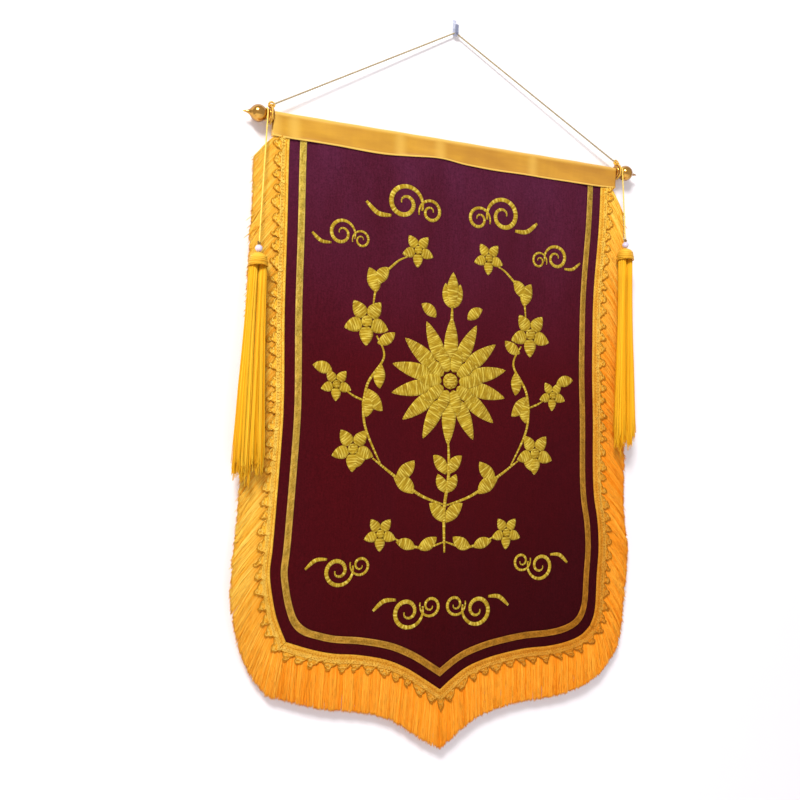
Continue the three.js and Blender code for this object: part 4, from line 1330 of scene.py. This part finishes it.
def makeTasselSkirt(name, place, seed):
    random = np.random.default_rng(seed)
    size = tassel[name]
    count = tassel["threads"]
    bundle = np.where(np.arange(2 * count) < count, -1.0, 1.0)
    lock = random.integers(0, tassel["locks"] + 3, 2 * count)
    isInner = lock >= tassel["locks"]
    turn = 2 * math.pi * lock / tassel["locks"] + np.where(bundle < 0, 0.3, 0)
    reach = np.where(isInner, 0.35, 1.0)
    offAngle = random.uniform(0, 2 * math.pi, 2 * count)
    offReach = tassel["lockRadius"] * np.sqrt(random.random(2 * count))
    lockIndex = lock + np.where(bundle < 0, 0, tassel["locks"] + 3)
    sway = random.normal(0, tassel["sway"], (2 * tassel["locks"] + 6, 2))[lockIndex]
    lockTone = random.random(2 * tassel["locks"] + 6)[lockIndex]
    lockLength = random.normal(0, tassel["lockUneven"], 2 * tassel["locks"] + 6)[lockIndex]
    ends = size["length"] * (1 + lockLength + random.normal(0, tassel["uneven"], 2 * count))
    isLoose = (random.random(2 * count) < tassel["stray"])[:, None]
    loose = isLoose * random.normal(0, tassel["strayReach"], (2 * count, 2))

    stations = np.append(np.linspace(0, tassel["tipAt"], tassel["segments"]), 1)
    down = tassel["headHeight"] - 3 + (ends[:, None] - tassel["headHeight"] + 3) * stations
    part = stations[None, :]
    waist = 1 - tassel["waist"] * np.sin(math.pi * np.clip(part * 1.5, 0, 1))
    tipX = size["spread"] - tassel["tipWidth"] * 0.6
    ringX = (tassel["ringRadius"] + (tipX - tassel["ringRadius"]) * part) * waist
    ringY = (tassel["ringRadius"] * 1.35 + (tassel["tipDepth"] - tassel["ringRadius"] * 1.35) * part) * waist
    centre = tassel["bundleOffset"] + (size["spread"] - tassel["bundleOffset"]) * part
    within = 0.75 + 0.35 * part
    x = (bundle[:, None] * centre + size["lean"] * part + (np.cos(turn) * reach)[:, None] * ringX
         + (np.cos(offAngle) * offReach)[:, None] * within + sway[:, :1] * np.sin(math.pi * part)
         + loose[:, :1] * part ** 2)
    y = ((np.sin(turn) * reach)[:, None] * ringY + (np.sin(offAngle) * offReach)[:, None] * within
         + sway[:, 1:] * np.sin(math.pi * part) + loose[:, 1:] * part ** 2)
    centres = (np.stack([x, y, -down], -1) + place) * mm
    across = np.stack([np.cos(offAngle), np.sin(offAngle), np.zeros(2 * count)], 1)
    deep = np.stack([-np.sin(offAngle), np.cos(offAngle), np.zeros(2 * count)], 1)
    radii = tassel["threadRadius"] * np.array(tassel["swell"]) * mm
    strandTone = random.random(8)[(offAngle / (2 * math.pi) * 7.99).astype(int)]
    byLock, byStrand, byThread, shadeByPlace = tassel["tones"]
    tone = byLock * lockTone + byStrand * strandTone + byThread * random.random(2 * count)
    # Threads nearer the core of a lock are painted darker, painted shade.
    tone = np.clip(tone + shadeByPlace * (offReach / tassel["lockRadius"] - 0.5) + 0.15, 0, 1)
    skirt = layThreads("skirt", tasselThread, tassel["segments"], centres, across, deep, radii, tone)
    return hand(skirt, f"tassel_skirt_{name}", tasselMaterial, "tassel", f"tassel_{name}")


for seed, name in enumerate(("left", "right")):
    size = tassel[name]
    place = hang + (size["x"], -tassel["forward"], -size["drop"])
    makeTasselHead(name, place)
    makeTasselSkirt(name, place, 31 + seed)
print("tassels made")


# The finials: turned from the collar outward, a ball drawn out to a thin spike.
finial = {
    "start": 318.8, "ballRadius": 13.5, "ballCentre": 23.2, "ballFrom": 36, "ballTo": 122, "ballRings": 26,
    "collar": [(10.2, 0.1), (10.7, 0.4), (11, 1.1), (11, 6.7), (10.8, 7.3), (10.2, 7.7), (9.0, 8.2),
               (8.2, 9.0), (7.9, 10.0), (7.9, 11.2)],
    "spike": [(10.3, 32.0), (8.6, 33.6), (6.9, 35.0), (5.3, 36.3), (4.0, 37.7), (3.1, 39.1), (2.4, 40.9),
              (1.8, 43.0), (1.2, 45.5), (0.7, 47.5), (0.3, 48.3)],
}


def makeFinial(name, side):
    radius = finial["ballRadius"]
    ball = []
    for turn in np.radians(np.linspace(finial["ballFrom"], finial["ballTo"], finial["ballRings"])):
        ball.append((radius * math.sin(turn), finial["ballCentre"] - radius * math.cos(turn)))
    profile = finial["collar"] + ball + finial["spike"]
    place = hang + (side * finial["start"], 0, -heading["rodDrop"])
    piece = turnPiece("finial", profile, 64, place, (0, side * math.pi / 2, 0))
    return hand(piece, f"turned_finial_{name}", giltMaterial, "finial", f"finial_{name}")


makeFinial("left", -1)
makeFinial("right", 1)
print("finials made")


# The wall hook: a strip drawn down the wall and up again in front into a trough, its edges rounded.
hook = {
    "width": 6, "wall": 2, "top": 16, "shoulder": 6, "bottom": -13, "outerRadius": 6.2, "lipTop": 5,
    "steps": 18, "bevel": 0.55,
}


def makeHook():
    radius = hook["outerRadius"]
    level = hook["bottom"] + radius
    path = [(0.0, hook["shoulder"]), (0.0, 0.0), (0.0, level)]
    for turn in np.linspace(0, math.pi, hook["steps"] + 1)[1:]:
        path.append((radius * (math.cos(turn) - 1), level - radius * math.sin(turn)))
    path.append((-2 * radius, hook["lipTop"]))
    selectOnly()
    bpy.ops.mesh.primitive_plane_add(size=1)
    piece = bpy.context.object
    top = hook["top"] * mm
    first = path[0][1] * mm
    half = hook["width"] / 2 * mm
    corners = readPoints(piece.data)
    upper = corners[:, 1] > 0
    placed = np.stack([np.sign(corners[:, 0]) * half, np.zeros(4), np.where(upper, top, first)], 1)
    setPoints(piece.data, placed)
    bpy.ops.object.mode_set(mode="EDIT")
    bpy.ops.mesh.select_mode(type="EDGE")
    bpy.ops.mesh.select_all(action="DESELECT")
    bpy.ops.object.mode_set(mode="OBJECT")
    for meshEdge in piece.data.edges:
        meshEdge.select = not any(upper[index] for index in meshEdge.vertices)
    bpy.ops.object.mode_set(mode="EDIT")
    for (y, z), (nextY, nextZ) in zip(path, path[1:]):
        bpy.ops.mesh.extrude_region_move(
            TRANSFORM_OT_translate={"value": (0, (nextY - y) * mm, (nextZ - z) * mm)})
    closeMesh()
    backNormal = piece.data.polygons[0].normal.y
    thickness = hook["wall"] if backNormal > 0 else -hook["wall"]
    applyModifier(piece, "SOLIDIFY", thickness=thickness * mm, offset=-1)
    selectOnly(piece)
    bpy.ops.object.mode_set(mode="EDIT")
    closeMesh()
    applyModifier(piece, "BEVEL", width=hook["bevel"] * mm, segments=3, limit_method="ANGLE",
                  angle_limit=math.radians(50))
    bpy.ops.object.shade_smooth_by_angle(angle=math.radians(30))
    return hand(piece, "clear_hook", hookMaterial, "hook", "wall_hook")


makeHook()
print("hook made")

# The rod keeps its shape; it is hidden in the heading.
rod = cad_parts["hanging_rod"]
rod.data.materials.clear()
rod.data.materials.append(rodMaterial)


# The embroidery: padded satin stitch in gold thread, flowers, leaves and clouds, the same on both sides.
stitching = {
    "lift": 0.55, "rise": 1.5, "rows": 6, "step": 2.2, "shell": 0.35,
    "flower": {
        "place": (0, 405), "rings": [(14, 34, 74, 14, 0.0), (10, 16, 44, 11.5, 1.0)],
        "eye": 13.5, "seeds": 9,
    },
    "seedReach": 0.68, "seedSize": 0.17, "eyeRise": 1.6, "seedRise": 2.5,
    "petal": (5, 0.2, 0.8, 0.3, 0.3), "blossomEye": 0.24, "blossomSeeds": 5,  # shares of the blossom's size
    "blossoms": [(168, 522, 37), (152, 316, 40), (200, 420, 27), (116, 658, 29), (66, 192, 29)],
    "vines": [
        ([(0, 500), (3, 560), (-3, 620), (0, 690)], 3.2),
        ([(0, 612), (46, 596), (92, 566), (134, 536)], 2.8),
        ([(120, 545), (150, 480), (148, 420), (120, 372), (134, 338)], 2.6),
        ([(142, 292), (134, 250), (104, 216), (84, 204)], 2.4),
        ([(146, 446), (168, 438), (182, 430)], 2.0),
        ([(0, 672), (38, 682), (72, 674), (94, 664)], 2.4),
        ([(0, 322), (0, 300), (0, 282)], 3.0),
    ],
    "leaves": [
        (60, 592, 40, 46, 13), (92, 568, -60, 44, 12), (148, 470, -15, 46, 12), (146, 425, 205, 44, 12),
        (124, 384, 165, 40, 11), (132, 350, -70, 36, 10), (138, 268, 5, 42, 12), (116, 226, 130, 38, 11),
        (2, 560, 25, 40, 11), (1, 640, 30, 44, 12), (2, 590, -45, 36, 10), (54, 682, 60, 36, 10),
        (48, 682, -75, 38, 11), (168, 552, -40, 40, 11), (208, 400, 62, 34, 10), (30, 300, 40, 34, 10),
    ],
    "bud": {"place": (0, 282), "petals": [(-34, 44, 10), (34, 44, 10), (0, 60, 12)]},
    "clouds": [(92, 116, 1.3, 0), (200, 178, 0.95, 0), (186, 716, 1.05, 1), (64, 786, 1.15, 1)],
}


def layPatch(line, half, lift):
    along = unit(np.gradient(line, axis=0))
    side = np.stack([-along[:, 1], along[:, 0]], 1)
    widest = half.max()

    def shape(u, v):
        index = np.rint(u * (len(line) - 1)).astype(int)
        across = 2 * v - 1
        spot = line[index] + side[index] * (half[index] * across)[:, None]
        dome = np.sqrt(np.clip(1 - across ** 2, 0, 1)) * np.sqrt(half[index] / widest)
        return onCloth(spot[:, 0], spot[:, 1], lift + stitching["rise"] * dome)

    length = lengthsAlong(line)[-1]
    return layGrid("patch", len(line) - 1, stitching["rows"], shape, length * mm, 2 * widest * mm)


# A leaf or petal from its base, at an angle from straight up, clockwise, in degrees.
def petalPatch(x, drop, angle, length, half, lift, curl=0.0, blunt=0.5):
    share = np.linspace(0, 1, 15)
    turn = np.radians(angle) + curl * share
    step = np.stack([np.sin(turn), np.cos(turn)], 1) * length / 14
    line = np.vstack([[0, 0], np.cumsum(step[:-1], axis=0)]) + (x, -drop)
    width = half * np.sin(math.pi * share ** (1 - 0.35 * blunt)) ** 0.75
    width = np.maximum(width, 0.12 * half * (1 - share) + 0.15)
    return layPatch(line, width, lift)


def roundPatch(x, drop, radius, lift):
    share = np.linspace(-1, 1, 13)
    line = np.stack([np.full(13, float(x)), share * radius - drop], 1)
    return layPatch(line, np.sqrt(np.clip(1 - share ** 2, 0.004, 1)) * radius, lift)


def stemPatch(rows, half, lift):
    line = throughPoints([(x, -drop) for x, drop in rows], 200)
    count = max(8, int(lengthsAlong(line)[-1] / stitching["step"]))
    line = evenly(line, count)
    share = np.linspace(0, 1, count)
    width = half * (0.45 + 0.55 * np.sin(math.pi * np.clip(share, 0.04, 0.96)) ** 0.6)
    return layPatch(line, width, lift)


# One curl of a cloud: a spiral that runs out into a tail.
def curlPatch(x, drop, size, startAngle, way, lift):
    share = np.linspace(0, 1, 60)
    turn = np.radians(startAngle) + way * share * 3.1 * math.pi
    reach = size * (0.16 + 0.84 * share ** 0.9)
    line = np.stack([np.cos(turn) * reach + x, np.sin(turn) * reach - drop], 1)
    width = size * 0.17 * (0.55 + 0.45 * share) * np.sin(math.pi * np.clip(share, 0.05, 0.97)) ** 0.4
    return layPatch(line, width, lift)


def makeFlower(x, drop, rings, eye, seeds, lift):
    pieces = []
    for number, start, length, half, rise in rings:
        for index in range(number):
            angle = 360 * (index + (0.5 if rise else 0)) / number
            turn = math.radians(angle)
            base = (x + math.sin(turn) * start, drop - math.cos(turn) * start)
            pieces.append(petalPatch(base[0], base[1], angle, length, half, lift + rise, 0.0, 0.9))
    pieces.append(roundPatch(x, drop, eye, lift + stitching["eyeRise"]))
    for index in range(seeds):
        turn = 2 * math.pi * index / seeds
        seedX = x + math.cos(turn) * eye * stitching["seedReach"]
        seedDrop = drop + math.sin(turn) * eye * stitching["seedReach"]
        pieces.append(roundPatch(seedX, seedDrop, eye * stitching["seedSize"], lift + stitching["seedRise"]))
    return pieces


def makeHalf(side, lift):
    pieces = []
    for x, drop, size in stitching["blossoms"]:
        number, start, length, half, rise = stitching["petal"]
        rings = [(number, size * start, size * length, size * half, rise)]
        eye = size * stitching["blossomEye"]
        pieces += makeFlower(x * side, drop, rings, eye, stitching["blossomSeeds"], lift)
    for rows, half in stitching["vines"]:
        if side > 0 or rows[-1][0] > 1:
            pieces.append(stemPatch([(x * side, drop) for x, drop in rows], half, lift))
    for x, drop, angle, length, half in stitching["leaves"]:
        pieces.append(petalPatch(x * side, drop, angle * side, length, half, lift + 0.1, 0.5 * side, 0.2))
    for x, drop, size, kind in stitching["clouds"]:
        up = -1 if kind else 1
        pieces.append(curlPatch(x * side, drop, 25 * size, 90 - 90 * side, up * side, lift))
        curlX = (x - 36 * size) * side
        curlDrop = drop + 8 * size * up
        pieces.append(curlPatch(curlX, curlDrop, 17 * size, 90 + 90 * side, -up * side, lift + 0.2))
        tail = [(x + 18 * size, drop + 18 * up * size), (x + 36 * size, drop + 17 * up * size),
                (x + 52 * size, drop + 4 * up * size)]
        pieces.append(stemPatch([(place * side, fall) for place, fall in tail], 3.4 * size, lift))
    return pieces


def makeEmbroidery():
    lift = stitching["lift"]
    flower = stitching["flower"]
    pieces = makeFlower(*flower["place"], flower["rings"], flower["eye"], flower["seeds"], lift)
    x, drop = stitching["bud"]["place"]
    for angle, length, half in stitching["bud"]["petals"]:
        rise = 0.8 if angle == 0 else 0
        pieces.append(petalPatch(x, drop, angle, length, half, lift + rise, -0.6 * np.sign(angle)))
    pieces += makeHalf(1, lift) + makeHalf(-1, lift)
    whole = joinPieces("stitching", pieces)
    thicken(whole, stitching["shell"])
    return hand(whole, "gold_embroidery", stitchMaterial, "satin")


trims.append(makeEmbroidery())
print("embroidery made")


# The set: a white wall close behind, a pale floor far below and one soft light from above.
def makeWall():
    selectOnly()
    bpy.ops.mesh.primitive_plane_add(size=9, location=(0, 0.0004, -0.6), rotation=(math.pi / 2, 0, 0))
    wall = bpy.context.object
    wall.name = "wall"
    material = bpy.data.materials.new("wall paint")
    material.use_nodes = True
    material.node_tree.nodes.clear()
    nodes = Nodes(material.node_tree)
    paint = nodes.add("BsdfDiffuse", {"Color": (0.93, 0.91, 0.92, 1)})[0]
    clear = nodes.add("BsdfTransparent", {})[0]
    behind = nodes.add("NewGeometry", {})["Backfacing"]
    shadow = nodes.add("LightPath", {})["Is Shadow Ray"]
    either = nodes.math("MAXIMUM", behind, shadow)
    nodes.add("OutputMaterial", {0: nodes.add("MixShader", {0: either, 1: paint, 2: clear})[0]})
    wall.data.materials.append(material)
    return wall


def makeFloor():
    selectOnly()
    bpy.ops.mesh.primitive_plane_add(size=9, location=(0, 0, -2.2))
    floor = bpy.context.object
    floor.name = "floor"
    material = bpy.data.materials.new("floor paint")
    material.use_nodes = True
    material.node_tree.nodes["Principled BSDF"].inputs["Base Color"].default_value = (0.8, 0.79, 0.79, 1)
    floor.data.materials.append(material)
    return floor


studio = {
    "aim": (0, -0.03, -0.62), "distance": 5.0, "elevation": 38, "toLeft": 32, "size": 1.2, "power": 228,
    "sky": (0.66, 0.62, 0.65, 1), "skyStrength": 0.84,
}


def aimAt(piece, target):
    direction = Vector(target) - piece.location
    piece.rotation_euler = direction.to_track_quat("-Z", "Y").to_euler()


def addLight(name, place, size, power, target):
    bpy.ops.object.light_add(type="AREA", location=place)
    light = bpy.context.object
    light.name = name
    light.data.size = size
    light.data.energy = power
    aimAt(light, target)
    return light


def makeLights():
    turn = math.radians(studio["toLeft"])
    rise = math.radians(studio["elevation"])
    aim = Vector(studio["aim"])
    away = Vector((-math.sin(turn) * math.cos(rise), -math.cos(turn) * math.cos(rise), math.sin(rise)))
    addLight("key light", aim + away * studio["distance"], studio["size"], studio["power"], aim)
    addLight("rear light", (1.2, 2.6, 1.2), 1.6, 40, aim)
    world = bpy.data.worlds.new("studio")
    world.use_nodes = True
    background = world.node_tree.nodes["Background"]
    background.inputs["Color"].default_value = studio["sky"]
    background.inputs["Strength"].default_value = studio["skyStrength"]
    bpy.context.scene.world = world
    bpy.context.scene.view_settings.view_transform = "Standard"


makeWall()
makeFloor()
makeLights()
print("set and lights made")
